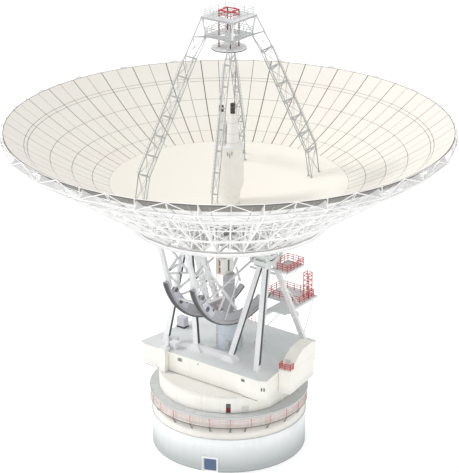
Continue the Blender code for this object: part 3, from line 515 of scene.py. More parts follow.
def build_reflector():
    centre = skin(spread(CENTRE_HOLE, INNER_ZONE, 19), 0, 0.22, 3)
    on_dish(centre, "reflector_centre_zone", INNER_CREAM, ("reflector_shell",), "reflector_cream")
    panels, strips = shapes(2)
    width = 360 / PANEL_SECTORS
    for sector in range(PANEL_SECTORS):
        seams = (WIDE_SEAM, NARROW_SEAM) if sector % 2 else (NARROW_SEAM, WIDE_SEAM)
        for inner, outer in zip(PANEL_JOINTS, PANEL_JOINTS[1:]):
            panel(panels, sector * width, (sector + 1) * width, inner, outer, *seams)
        angle = (sector + 0.5) * width
        strips.tube([polar(r, angle, dish_z(r) - 0.28) for r in (18.2, 22, 26, 30.2, 34.3)], 0.1, 4)
    on_dish(panels, "reflector_outer_panels", OUTER_CREAM, slot="reflector_cream")
    radii = spread(INNER_ZONE + 0.02, DISH_RADIUS + 0.02, 10)
    on_dish(skin(radii, PANEL_THICKNESS + 0.005, 0.12), "panel_seam_bed", SEAM_AND_SHADOW)
    on_dish(skin(radii, 0.125, 0.24), "reflector_backing", UNDERSIDE)
    on_dish(strips, "panel_stiffeners", GREY)
    edge = Shape().band(34.58, 34.66, dish_z(DISH_RADIUS) - 0.11, 0.12, DISH_STEPS)
    on_dish(edge, "reflector_edge_angle", SEAM_AND_SHADOW)


def build_rim():
    """The rim truss in slim tubes, with braces back to the ribs."""
    truss, braces, knots = shapes(3)
    edge, low, high = dish_z(DISH_RADIUS) - 0.2, RIM_BOTTOM + 0.1, RIM_TOP - 0.08
    for bay in range(RIBS):
        rib, next_rib = RIB_STEP * bay, RIB_STEP * (bay + 1)
        between = rib + RIB_STEP / 2
        post, next_post = (polar(RIM_RADIUS, a, low) for a in (rib, next_rib))
        head, middle, next_head = (polar(RIM_RADIUS, a, high) for a in (rib, between, next_rib))
        truss.rod(post, next_post, 0.2, 8)
        truss.rod(head, middle, 0.1)
        truss.rod(middle, next_head, 0.1)
        for start, end in ((post, head), (post, middle), (middle, next_post)):
            truss.rod(start, end, 0.15)
        inner = polar(LOW_NODES[-1], between, lower_chord(LOW_NODES[-1]) + 0.12)
        braces.bar(polar(RIM_RADIUS - 0.05, rib, low), inner, 0.11)
        braces.bar(next_post, inner, 0.11)
        braces.bar(inner, polar(34.5, between, edge), 0.1)
        braces.bar(inner, polar(RIM_RADIUS, between, RIM_TOP - 0.2), 0.08)
        braces.bar(head, polar(34.5, rib, edge), 0.08)
        knots.disc(post, 0.2, 0.14, polar(1, rib, 0))
        knots.disc(middle, 0.13, 0.12, polar(1, between, 0))
    on_dish(truss, "rim_truss_tubes", BRIGHT, ("rim_truss",), "white_paint")
    on_dish(braces, "rim_inner_braces", BRIGHT)
    on_dish(knots, "rim_gusset_plates", BRIGHT)


def build_back_structure():
    """Finer ribs between the heavy ones, with hoops and braces at every truss node."""
    low = [(r, lower_chord(r) + 0.12) for r in LOW_NODES]
    high = [(r, dish_z(r) - 0.42) for r in HIGH_NODES]
    ribs, hoops, braces = shapes(3)
    for i in range(RIBS):
        angle = RIB_STEP * (i + 0.5)
        lower, upper = ([polar(r, angle, z) for r, z in nodes] for nodes in (low, high))
        for line in (lower, upper):
            for start, end in zip(line, line[1:]):
                ribs.bar(start, end, 0.17)
        for k, point in enumerate(upper):
            ribs.bar(lower[k], point, 0.12)
            ribs.bar(point, lower[k + 1], 0.12)
    crossings = [(k, low[k - 1], low[k]) for k in range(1, len(low))]
    crossings += [(k, high[k], low[k + 1]) for k in range(len(high))]
    for i in range(2 * RIBS):
        one, two = RIB_STEP / 2 * i, RIB_STEP / 2 * (i + 1)
        for nodes, width in ((low, 0.15), (high, 0.14)):
            for radius, z in nodes:
                hoops.bar(polar(radius, one, z), polar(radius, two, z), width)
        for k, (inner, inner_z), (outer, outer_z) in crossings:
            start, end = (one, two) if (i + k) % 2 else (two, one)
            braces.bar(polar(inner, start, inner_z), polar(outer, end, outer_z), 0.11)
    on_dish(ribs, "light_ribs", BRIGHT)
    on_dish(hoops, "truss_hoops", BRIGHT)
    on_dish(braces, "truss_braces", BRIGHT)


# Quadripod, apex and feed


def leg_stations(sx, sy):
    """The outer chord and the two inner ones at each batten of a leg, from the shell up."""
    knee, bend = Vector(LEG_KNEE), Vector(LEG_BEND)
    along = (bend - knee).normalized()
    radial = Vector((knee.x - bend.x, knee.y - bend.y, 0)).normalized()
    lateral = Vector((-radial.y, radial.x, 0)) * LEG_SPREAD / 2

    def triangle(centre):
        outside = centre + radial * LEG_DEPTH * 0.6 + along * BATTEN_RISE
        inside = centre - radial * LEG_DEPTH * 0.4 - along * BATTEN_DROP
        return [outside, inside + lateral, inside - lateral]

    foot = triangle(Vector((*LEG_FOOT, 0)))
    stations = [[Vector((p.x, p.y, dish_z(p.xy.length) + 0.05)) for p in foot]]
    stations += [triangle(knee.lerp(bend, i / LEG_BAYS)) for i in range(LEG_BAYS + 1)]
    return [[Vector((p.x * sx, p.y * sy, p.z)) for p in row] for row in stations]


def build_quadripod():
    low_tip, high_tip = APEX_LOW_Z - APEX_PLATE, APEX_TOP_Z - APEX_PLATE
    ends = ((2.97, 3.0, high_tip), (2.25, 2.62, low_tip), (2.62, 2.35, low_tip))
    for number, (sx, sy) in enumerate(((1, 1), (-1, 1), (-1, -1), (1, -1)), 1):
        stations = leg_stations(sx, sy)
        tips = [Vector((x * sx, y * sy, z)) for x, y, z in ends]
        chords, battens, webs, cables = shapes(4)
        for k, width in enumerate((0.19, 0.14, 0.14)):
            line = [row[k] for row in stations] + [tips[k]]
            chords.tube(line, width)
            chords.disc(line[0] + up(0.02), 0.22, 0.12, up(1), 12)
        shared = stations[-1][0].lerp(tips[0], 0.5)
        for i, row in enumerate(stations):
            for k in range(3):
                if i:
                    battens.bar(row[k], row[(k + 1) % 3], 0.17)
                if i + 1 < len(stations):
                    above = stations[i + 1]
                    webs.rod(row[k], above[(k + 1) % 3], LEG_WEB)
                    if k != 1:
                        webs.rod(row[(k + 1) % 3], above[k], LEG_WEB)
        for k in (1, 2):
            battens.bar(shared, tips[k], 0.13)
            webs.rod(stations[-1][k], shared, LEG_WEB)
            webs.rod(stations[-1][0], tips[k], LEG_WEB)
        outer, left, right = stations[1]
        out = (outer - left.lerp(right, 0.5)).normalized() * 0.22
        along = (left - right).normalized() * 0.2
        start, end = outer + out, stations[-1][0] + out
        for side in (along, -along):
            cables.rod(start + side, end + side, 0.05)
        for i in range(CABLE_RUNGS):
            rung = start.lerp(end, (i + 0.5) / CABLE_RUNGS)
            cables.bar(rung + along, rung - along, 0.06)
            if i % 5 == 0:
                cables.rod(rung, rung - out, 0.06)
        node = f"quadripod_leg_{number}"
        on_dish(chords, f"quadripod_{number}_chords", LEG_PAINT, (node,), "white_paint")
        on_dish(battens, f"quadripod_{number}_battens", LEG_PAINT)
        on_dish(webs, f"quadripod_{number}_diagonals", LEG_PAINT)
        on_dish(cables, f"quadripod_{number}_cable_ladder", LEG_PAINT)


def build_apex():
    rails, posts, braces = shapes(3)
    for half, z in ((2.6, APEX_LOW_Z), (2.72, APEX_TOP_Z)):
        for start, end in loop(square(half, z)):
            for share in (0.38, 0.7, 1.0):
                rise = up(APEX_RAIL * share)
                rails.rod(start + rise, end + rise, 0.09)
            for i in range(3):
                post = start.lerp(end, i / 3)
                rails.rod(post, post + up(APEX_RAIL), 0.09)
    on_dish(rails, "apex_rails", RAIL_GREY, ("apex_rail",), "white_paint")
    for foot, head in zip(square(2.64, APEX_LOW_Z - 0.02), square(2.72, APEX_TOP_Z + APEX_RAIL)):
        posts.rod(foot, head, 0.13, 8)
    on_dish(posts, "apex_corner_posts", WHITE)
    low, high = square(APEX_LOW_HALF - 0.1, APEX_LOW_Z), square(APEX_TOP_HALF - 0.2, APEX_TOP_Z - APEX_PLATE)
    for feet, heads in zip(loop(low), loop(high)):
        for foot in feet:
            braces.rod(foot, (heads[0] + heads[1]) / 2, 0.08)
    on_dish(braces, "apex_braces", RAIL_GREY)
    fascia, grating = shapes(2)
    for half, z, deep in ((APEX_LOW_HALF, APEX_LOW_Z, 0.3), (APEX_TOP_HALF, APEX_TOP_Z, 0.28)):
        for start, end in loop(square(half - 0.02, z - 0.12)):
            fascia.bar(start, end, 0.08, deep)
        reach = half - 0.1
        for i in range(1, 12):
            x = -half + half * i / 6
            spans = [(-reach, reach)] if abs(x) > HATCH_HALF else [(-reach, -HATCH_HALF), (HATCH_HALF, reach)]
            for start, end in spans:
                grating.box((x - 0.03, start, z), (x + 0.03, end, z + 0.03))
    on_dish(fascia, "apex_platform_edges", GREY)
    on_dish(grating, "apex_gratings", DECK)
    rungs = [APEX_LOW_Z + 0.25 + 0.3 * i for i in range(13)]
    ladder = Shape().ladder(1.5, 1.95, -1.7, APEX_LOW_Z, APEX_TOP_Z + 1.1, 0.06, rungs, 0.04)
    on_dish(ladder, "apex_ladder", WHITE)
    hoist, rings = shapes(2)
    for foot, head in zip(square(HOIST_HALF, SUB_TOP + 0.01), square(HOIST_HALF, HOIST_TOP)):
        hoist.rod(foot, head, 0.2, 8)
    on_dish(hoist, "hoist_posts", HOIST_RED, ("hoist_frame",), "red_paint")
    for z in (HOIST_TOP - 0.1, HOIST_TOP - 0.75):
        for start, end in loop(square(HOIST_HALF, z)):
            rings.bar(start, end, 0.18, 0.14)
            rings.rod(start, (start + end) / 2 + up(0.2), 0.07)
    on_dish(rings, "hoist_top_rings", RED)
    drive, ribs = shapes(2)
    for profile in (
        [(0, 67.9), (0.7, 67.9), (0.75, 67.8), (0.75, SUB_TOP), (0, SUB_TOP)],
        [(0, 68.7), (0.64, 68.7), (0.68, 68.62), (0.68, 67.9), (0, 67.9)],
    ):
        drive.turned(profile, 32, closed=False)
    for z in (66.9, 67.6):
        drive.band(0.65, 0.78, z, 0.05, 32)
    on_dish(drive, "subreflector_drive", WHITE)
    for angle in range(0, 360, 30):
        ribs.bar(polar(1.0, angle, SUB_TOP + 0.06), polar(2.5, angle, SUB_TOP + 0.02), 0.05, 0.08)
    on_dish(ribs, "subreflector_ribs", WHITE)
    on_dish(Shape().band(2.62, 2.73, 66.09, 0.07, 64), "subreflector_lower_lip", DARK)


def build_feed():
    cones, tips, seams = shapes(3)
    base = BARREL_TOP + 0.3
    horn = [(0, 55.75), (0.42, 55.75), (0.56, 55.2), (0.78, 54.3), (0.9, 53.4), (0.95, 52.4)]
    horn += [(0.97, base + 0.25), (1.06, base + 0.22), (1.06, base), (0, base)]
    collar = [(0.3, 56.0), (0.47, 56.0), (0.5, 55.95), (0.5, 55.78), (0.3, 55.74)]
    cap = [(0, 56.95), (0.3, 56.95), (0.38, 56.87), (0.36, 56.0), (0.3, 55.9), (0, 55.9)]
    for i in range(3):
        centre = polar(CONE_OFFSET, 97 + 120 * i)
        cones.turned(horn, 32, centre, closed=False)
        cones.turned(collar, 28, centre)
        tips.turned(cap, 28, centre, closed=False)
        for radius, z in ((0.93, 52.9), (0.72, 54.6), (0.98, base + 0.6)):
            seams.band(radius - 0.04, radius + 0.015, z, 0.03, 28, centre)
        for k in range(10):
            bolt = Vector((*centre, base + 0.25)) + polar(1.0, 36 * k, 0)
            seams.disc(bolt, 0.04, 0.08, up(1), 6)
    rim = BARREL_RADIUS - 0.06
    top = [(0, base), (rim - 0.06, base), (rim, base - 0.06), (rim, BARREL_TOP), (0, BARREL_TOP)]
    on_dish(cones, "feed_horns", WARM_WHITE, ("feed_cones",), "white_paint")
    on_dish(tips, "feed_horn_caps", OLIVE)
    on_dish(seams, "feed_horn_flanges", PALE_GREY)
    on_dish(Shape().turned(top, 48, closed=False), "feed_top_plate", WHITE)
    bands, handles = shapes(2)
    for z, radius in ((50.38, 2.32), (48.4, 2.31), (46.4, 2.31), (44.6, 2.32), (42.4, 1.71), (41.0, 1.79)):
        bands.band(radius - 0.06, radius + 0.01, z, 0.05, 48)
    on_dish(bands, "feed_tower_bands", WARM_WHITE)
    for angle, z in ((-58, 49.6), (-50, 49.3), (-42, 49.7), (20, 49.4), (140, 49.4)):
        inner, outer = (polar(BARREL_RADIUS + out, angle, z) for out in (-0.03, 0.12))
        grip = up(0.45)
        for start, end in ((outer, outer + grip), (inner, outer), (inner + grip, outer + grip)):
            handles.rod(start, end, 0.09)
    on_dish(handles, "feed_tower_handles", DARK)


# Ring, wheels and girder


def build_ring():
    flanges, braces, hub = shapes(3)
    outside = RING_RADIUS + 0.42
    for z in (RING_TOP - 0.05, RING_BOTTOM + 0.05):
        for start, end in loop([polar(outside, RIB_STEP * i, z) for i in range(RIBS)]):
            flanges.bar(start, end, 0.14, 0.1)
    level = RING_BOTTOM + 0.3
    for i in range(RIBS):
        foot = polar(outside, RIB_STEP * i, RING_BOTTOM + 0.05)
        flanges.bar(foot, foot + up(0.5), 0.1)
        if i % 2:
            start = polar(RING_RADIUS - 0.5, RIB_STEP * i, level)
            for side in (i + 1, i - 1):
                braces.bar(start, polar(HUB_RADIUS + 0.1, RIB_STEP * side, level), 0.2)
        foot = polar(HUB_RADIUS + 0.04, RIB_STEP * (i + 0.5), RING_TOP + 0.1)
        hub.bar(foot, foot + up(HUB_TOP - RING_TOP - 0.2), 0.12, 0.2)
    on_dish(flanges, "ring_beam_flanges", BRIGHT)
    on_dish(braces, "ring_floor_braces", BRIGHT)
    on_dish(hub, "hub_stiffeners", WHITE)


def wheel_point(x, radius, angle):
    """A point about the elevation axis."""
    y, z = polar(radius, angle)
    return Vector((x, y, AXIS_Z + z))


def wheel_arc(shape, x0, x1, inner, outer, first=WHEEL_FIRST, last=WHEEL_LAST, steps=60):
    """A curved bar about the elevation axis. A full turn closes on itself."""
    corners = ((x0, inner), (x1, inner), (x1, outer), (x0, outer))
    rings = [[wheel_point(x, r, angle) for x, r in corners] for angle in spread(first, last, steps + 1)]
    full = last - first == 360
    shape.loft(rings[:-1] if full else rings, looped=full)


def build_wheels():
    """The two elevation wheels: a box arc with a toothed rim, tube chords and bracing."""
    arcs, rims, teeth, tubes, plates, holes = shapes(6)
    outer, inner = WHEEL_RADIUS, WHEEL_RADIUS - WHEEL_WEB
    top = RING_BOTTOM - 0.02
    runs = (
        ((-14.1, top), (-11.7, 30.0), 0.72),
        ((-12.7, top - 0.2), (-1.6, 24.2), 0.34),
        ((-9.6, 34.3), (-11.9, 32.8), 0.3),
        ((-12.3, 32.8), (-9.8, 33.1), 0.3),
        ((-12.2, 32.4), (-7.3, 30.9), 0.3),
        ((-11.9, 32.1), (-9.0, 29.0), 0.28),
        ((-9.0, 34.4), (-9.9, 28.0), 0.3),
        ((12.7, top - 0.2), (1.6, 24.2), 0.34),
        ((14.1, top), (9.6, 27.0), 0.5),
        ((9.6, 27.2), (7.9, 31.6), 0.28),
        ((12.0, 32.0), (7.9, 31.6), 0.28),
        ((-9.3, 27.8), (-4.7, 27.4), 0.26),
        ((-4.7, 27.2), (-6.5, 24.8), 0.26),
        ((5.4, 27.6), (6.5, 24.8), 0.26),
    )
    for x, outside in ((WHEEL_X, WHEEL_X + 0.5), (-WHEEL_X, -WHEEL_X - 0.5)):
        wheel_arc(arcs, x - 0.24, x + 0.24, inner, outer - 0.1, BOX_FIRST, BOX_LAST)
        wheel_arc(arcs, x - 0.38, x + 0.38, outer - 0.5, outer - 0.05)
        wheel_arc(rims, x - 0.46, x + 0.46, outer - 0.04, outer + 0.1)
        for angle in spread(WHEEL_FIRST + 1, WHEEL_LAST - 1, WHEEL_TEETH):
            start, end = (wheel_point(x + side, outer + 0.12, angle) for side in (-0.22, 0.22))
            teeth.bar(start, end, 0.12, 0.06)
        for start, end, width in runs:
            tubes.bar((x, *start), (x, *end), width, min(width, 0.5))
        tubes.bar((x, -14.3, top - 0.1), (x, 14.3, top - 0.1), 0.5, 0.24)
        tubes.rod((outside, -10.9, 28.1), (outside, 8.3, 33.0), 0.36, 12)
        tubes.rod((outside, -5.2, 23.6), (outside, -1.4, 29.8), 0.2, 8)
        for first, last in ((-150, -140), (-139, -128)):
            for face in (x - 0.27, x + 0.27):
                wheel_arc(plates, face - 0.03, face + 0.03, inner + 0.18, outer - 0.2, first, last, 8)
        for angle, radius, size in ((-149.8, 12.1, 0.36), (-137.9, 12.5, 0.42), (-130.9, 11.98, 0.2)):
            for face in (x - 0.33, x + 0.33):
                holes.disc(wheel_point(face, radius, angle), size, 0.06, X_AXIS, 20)
    for y, z in ((-10.0, 27.6), (9.2, 26.4), (0, 22.9)):
        tubes.bar((-WHEEL_X, y, z), (WHEEL_X, y, z), 0.3)
    nodes = ("elevation_wheel_right", "elevation_wheel_left")
    on_dish(arcs, "wheel_box_arcs", WHEEL_GREY, nodes, "grey_paint")
    on_dish(rims, "wheel_rims", DARK)
    on_dish(teeth, "wheel_gear_teeth", DARK)
    on_dish(tubes, "wheel_tubes", TUBE_WHITE)
    on_dish(plates, "wheel_cover_plates", LAVENDER)
    on_dish(holes, "wheel_plate_holes", DARK)
    posts = Shape()
    for sign in (1, -1):
        for y in (-1.1, 1.1):
            for x in (3.2, 4.0, 4.9):
                posts.rod((sign * x, y, AXIS_Z + 1.3), (sign * x, y, RING_BOTTOM), 0.16, 8)
        for low_y, high_y in ((-1.2, -7.5), (1.2, 7.5)):
            posts.rod((sign * 5.15, low_y, 34.0), (sign * 5.15, high_y, RING_BOTTOM), 0.24, 8)
    on_dish(posts, "girder_hangers", TUBE_WHITE)


def build_bearings():
    caps, bolts, shims = shapes(3)
    outer_x, inner_x = BEARING_X + BEARING_HALF, BEARING_X - BEARING_HALF
    for sign in (1, -1):
        face, step = sign * outer_x, sign * 0.1
        wheel_arc(caps, face, face + step, 1.02, 1.95, 0, 360, 40)
        wheel_arc(caps, face + step, face + 2 * step, 1.02, 1.4, 0, 360, 40)
        for i in range(16):
            bolts.disc(wheel_point(face + 0.14 * sign, 1.7, 22.5 * i), 0.09, 0.1, X_AXIS, 6)
        for y in (-1.72, 1.72):
            for x in (-0.8, 0, 0.8):
                bolts.disc((sign * BEARING_X + x, y, 33.55), 0.12, 0.16, up(1), 6)
            for x in (inner_x + 0.15, BEARING_X, outer_x - 0.15):
                caps.bar((sign * x, y * 0.92, 33.5), (sign * x, y * 0.86, 35.0), 0.1, 0.34)
        for y in (-1.94, 1.94):
            shims.bar((sign * (inner_x - 0.08), y, 32.68), (sign * (outer_x + 0.08), y, 32.68), 0.05, 0.12)
    on_alidade(caps, "bearing_covers", BEARING_PAINT, bevel=0.02)
    on_alidade(bolts, "bearing_bolts", GREY)
    on_alidade(shims, "bearing_seat_shims", GREY)


# Turning base and towers


def leg_section(which, height):
    """The centre and the half sizes, as (x, y), of a right-hand leg at a height."""
    foot, top = (Vector(end) for end in FEET[which])
    share = (height - DECK_TOP) / (LEG_TOP - DECK_TOP)
    return foot.lerp(top, share), Vector(LEG_SECTION).lerp(Vector(LEG_TOP_SECTION), share) / 2


def tower_point(which, sign, height):
    """The centre of a leg at a height."""
    centre = leg_section(which, height)[0]
    return Vector((sign * centre.x, centre.y, height))


def leg_ring(which, sign, height, grow):
    """The outline of a leg at a height, grown by so much on each side."""
    centre, half = leg_section(which, height)
    x, y = sign * centre.x, centre.y
    return [(x + a * (half.x + grow), y + b * (half.y + grow), height) for a, b in CORNERS]


def build_towers():
    plates, collars, bolts, webs, ties = shapes(5)
    for sign in (1, -1):
        for which in FEET:
            if which.startswith("back"):
                x, y, z = tower_point(which, sign, DECK_TOP)
                plates.box((x - 0.8, y - 0.62, z + 0.01), (x + 0.8, y + 0.62, z + 0.12))
                for a, b in CORNERS:
                    bolts.disc((x + 0.66 * a, y + 0.48 * b, z + 0.17), 0.09, 0.14, up(1), 6)
            if which == "back_outer":
                for height in (19.0, 21.9, 27.2):
                    collars.loft([leg_ring(which, sign, height + rise, 0.06) for rise in (0, 0.28)])
            top_rings = ((LEG_TOP - 0.3, 0.04), (LEG_TOP - 0.01, 0.16))
            collars.loft([leg_ring(which, sign, height, grow) for height, grow in top_rings])
            # Dark sheets on both side faces of the front legs, standing in for their shade: painted shade
            if which.startswith("front"):
                for side in (-1, 1):
                    rows = []
                    for height in (DECK_TOP + 1.0, LEG_TOP - 0.4):
                        centre, half = leg_section(which, height)
                        x, deep = sign * centre.x + side * (half.x + 0.012), half.y - 0.05
                        rows.append([(x + 0.012 * a, centre.y + b * deep, height) for a, b in CORNERS])
                    webs.loft(rows)
    on_alidade(plates, "tower_foot_plates", WHITE, bevel=0.02)
    on_alidade(collars, "tower_splice_collars", WHITE)
    on_alidade(bolts, "tower_foot_bolts", GREY)
    on_alidade(webs, "tower_leg_painted_shade_sides", LEG_SIDE_SHADE)
    ties.rod((8.4, 2.55, 28.9), (7.3, 9.0, 22.4), 0.2, 8)
    for sign in (1, -1):
        for low_z, high_z in ((19.5, 24.0), (24.0, 28.5)):
            ties.rod(tower_point("front_inner", sign, high_z), tower_point("back_inner", sign, low_z), 0.12)
    on_alidade(ties, "tower_ties", TUBE_WHITE)


def build_platforms():
    rails, cage, struts = shapes(3)
    upper = [(8.6, 1.1), (10.6, 1.1), (10.6, 5.4), (7.6, 5.4), (7.6, 2.3)]
    lower = [(0.7, 9.3), (7.2, 9.3), (7.2, 13.4), (0.7, 13.4), (0.7, 9.3)]
    rail_run(rails, upper, UPPER_FLOOR, 1.15, 0.12, 0.9)
    rail_run(rails, lower, LOWER_FLOOR, 1.15, 0.12, 1.3)
    nodes = ("upper_platform_rail", "lower_platform_rail")
    on_alidade(rails, "platform_handrails", RED, nodes, "red_paint")
    corners = [(6.03, 12.13), (7.02, 12.13), (7.02, 13.12), (6.03, 13.12)]
    for x, y in corners:
        cage.rod((x, y, LOWER_FLOOR), (x, y, 26.6), 0.15)
    for i in range(15):
        z = 22.6 + 0.28 * i
        cage.rod((6.03, 13.12, z), (7.02, 13.12, z), 0.05)
    for z in (23.4, 24.3, 25.2, 26.0, 26.55):
        for start, end in loop(corners):
            cage.rod((*start, z), (*end, z), 0.12)
    on_alidade(cage, "platform_ladder_and_cage", RED, ("ladder_cage",), "red_paint")
    leg = tower_point("back_outer", 1, 28.6)
    for out, y in ((0.3, 4.9), (0, 1.3)):
        struts.rod(leg + Vector((0.4, out, 0)), (10.3, y, 31.05), 0.15, 8)
    for x in (9.0, 10.5):
        struts.bar((x, 1.05, 31.02), (x, 5.45, 31.02), 0.1, 0.14)
    for which, height, head in (("back_inner", 18.6, (4.4, 12.8)), ("back_outer", 18.2, (7.3, 13.2))):
        start = tower_point(which, 1, height) + Vector((0, 0.35, 0))
        struts.rod(start, (*head, 21.95), 0.16, 8)
    for y in (9.1, 10.6, 12.2, 13.8):
        struts.bar((0.65, y, 21.9), (7.55, y, 21.9), 0.1, 0.14)
    on_alidade(struts, "platform_struts", WHITE)


def turned_frame(angle, radius):
    """Axes of a flat piece on the round wall: x along the wall, y outwards, z up."""
    out = polar(radius, angle, 0)
    return Matrix.Translation(out) @ Matrix.Rotation(radians(angle - 90), 4, "Z")


def build_house():
    vents, slats, trims, dark = shapes(4)
    front = DECK_FRONT_Y
    for low_x, high_x, low_z, high_z in ((-4.44, -3.64, 15.32, 15.9), (8.18, 8.79, 15.4, 15.84)):
        vents.box((low_x - 0.05, front - 0.07, low_z - 0.05), (high_x + 0.05, front - 0.01, high_z + 0.05))
        for i in range(4):
            z = low_z + (high_z - low_z) * (i + 0.5) / 4
            slats.bar((low_x, front - 0.09, z), (high_x, front - 0.09, z), 0.05, 0.07)
    dark.disc((-0.4, front - 0.03, 15.85), 0.1, 0.06, (0, 1, 0), 12)
    for x in (-9.6, -1.9, 1.2, 4.17, 6.9, 10.4):
        trims.box((x - 0.025, front - 0.02, HOUSE_BOTTOM + 0.3), (x + 0.025, front - 0.002, 15.95))
    trims.box((-11.35, front - 0.05, 15.95), (11.35, front - 0.01, 16.01))
    edge = [(-11.43, -7.65), (11.43, -7.65), (12.55, -7.03), (10.05, 10.15), (-10.05, 10.15), (-12.55, -7.03)]
    for start, end in loop(edge):
        trims.bar((*start, 16.175), (*end, 16.175), 0.035, 0.34)
    # A dark strip along the foot of the front wall: a painted shadow line
    dark.box((-11.3, front - 0.02, HOUSE_BOTTOM + 0.02), (11.3, front - 0.002, HOUSE_BOTTOM + 0.1))
    trunk_front = front - 0.95
    trims.box((-7.72, trunk_front - 0.06, 12.95), (-6.33, front - 0.05, 13.1))
    for z in (14.0, 15.2):
        trims.box((-7.69, trunk_front - 0.03, z), (-6.36, front - 0.05, z + 0.06))
    duct, cover = shapes(2)
    duct.tube([(-7.1, trunk_front + 0.5, 16.55), (-7.1, front + 0.4, 17.0), (-8.6, -5.2, 17.0)], 0.62, 4)
    duct.box((-7.62, front - 0.9, DECK_TOP + 0.02), (-6.44, front + 0.5, DECK_TOP + 0.62))
    on_alidade(duct, "cable_duct", WHITE, bevel=0.03)
    cover.box((-7.12, -6.57, 17.36), (-5.73, -5.23, 17.46))
    for x in (-6.98, -6.39):
        cover.box((x, -6.54, DECK_TOP + 0.15), (x + 0.52, -6.5, 17.25))
    cover.box((-8.4, -4.6, DECK_TOP + 0.02), (-7.3, -3.6, DECK_TOP + 0.8))
    on_alidade(cover, "deck_cabinet_doors_and_lid", WHITE, bevel=0.02)
    side = Matrix.Translation((12.0, -7.28, 0)) @ Matrix.Rotation(radians(28.6), 4, "Z")
    for x in (-0.15, 0.25):
        slats.box((x - 0.1, -0.05, 14.6), (x + 0.1, 0.02, 15.15), side)
    on_alidade(vents, "wall_vent_frames", IVORY, bevel=0.02)
    on_alidade(slats, "wall_vent_slats", DARK)
    on_alidade(trims, "wall_trims", IVORY, bevel=0.02)
    on_alidade(dark, "wall_fittings_and_painted_shadow_line", DARK)
    cabin, sill, rail = shapes(3)
    cabin.box((-11.3, 0.7, DECK_TOP + 0.25), (-9.75, 1.9, DECK_TOP + 1.7))
    cabin.box((-11.36, 0.64, DECK_TOP + 1.7), (-9.69, 1.96, DECK_TOP + 1.8))
    sill.box((-11.33, 0.67, DECK_TOP + 0.01), (-9.72, 1.93, DECK_TOP + 0.27))
    on_alidade(cabin, "deck_cabins", LAVENDER, bevel=0.04)
    on_alidade(sill, "deck_cabin_sill", OLIVE)
    rail_run(rail, [(-3.4, 9.8), (-1.9, 9.8)], DECK_TOP, 1.1, 0.07, 0.75, (0.5, 1.0))
    on_alidade(rail, "deck_back_rail", RED)


def build_hut():
    """Rails round the low landing, the door, and the panels of the stair hut."""
    turn = Matrix.Translation((HUT_EDGE_X, HUT_FRONT_Y, 0)) @ Matrix.Rotation(atan2(2.5, 17.1), 4, "Z")
    rails, panels, grey = shapes(3)
    line = [turn @ Vector((x, y, 0)) for x, y in ((0.1, 1.1), (0.1, 0.08), (2.02, 0.08), (2.02, 1.1))]
    rail_run(rails, [p.xy for p in line], 16.8, 1.0, 0.13, 0.95, (0.33, 0.66, 1.0))
    panels.box((0.12, -0.04, 13.3), (1.98, 0, 16.5), turn)
    panels.box((0, -0.06, 16.62), (2.1, 0.02, 16.8), turn)
    panels.box((2.1, 0.5, 16.55), (2.13, 8.1, 16.63), turn)
    grey.box((0.55, 1.15, 16.82), (1.45, 1.19, 18.2), turn)
    on_alidade(rails, "hut_handrail", RED)
    on_alidade(panels, "hut_front_panels", IVORY, bevel=0.02)
    on_alidade(grey, "hut_door_and_hatches", PALE_GREY, bevel=0.02)


def build_deck_centre():
    boxes, bands, slit = shapes(3)
    for angle in (-62, -38, -14, 30):
        boxes.box((-0.28, -0.02, 16.8), (0.28, 0.35, 18.2), turned_frame(angle, 1.95))
    for z in (16.6, 18.9, 20.85):
        bands.band(1.92, 2.02, z, 0.1, 48)
    for z in (22.5, 25.2, 27.8):
        bands.band(0.93, 1.02, z, 0.08, 32)
    on_alidade(boxes, "cable_drum_boxes", PALE_GREY, bevel=0.03)
    on_alidade(bands, "cable_drum_bands", LIGHT_BLUE)
    for z in (29.3, 30.5):
        slit.box((-0.9, -1.36, z), (-0.7, -1.33, z + 0.9))
    slit.box((-0.07, -0.2, 29.4), (-0.03, 0.2, 31.3))
    on_alidade(slit, "instrument_box_slits", DARK)
    rungs = [DECK_TOP + 0.3 + 0.315 * i for i in range(48)]
    ladder = Shape().ladder(-1.35, -0.9, -1.48, DECK_TOP, 31.7, 0.07, rungs, 0.045)
    on_alidade(ladder, "column_ladder", PINK)


# Pedestal and skirt


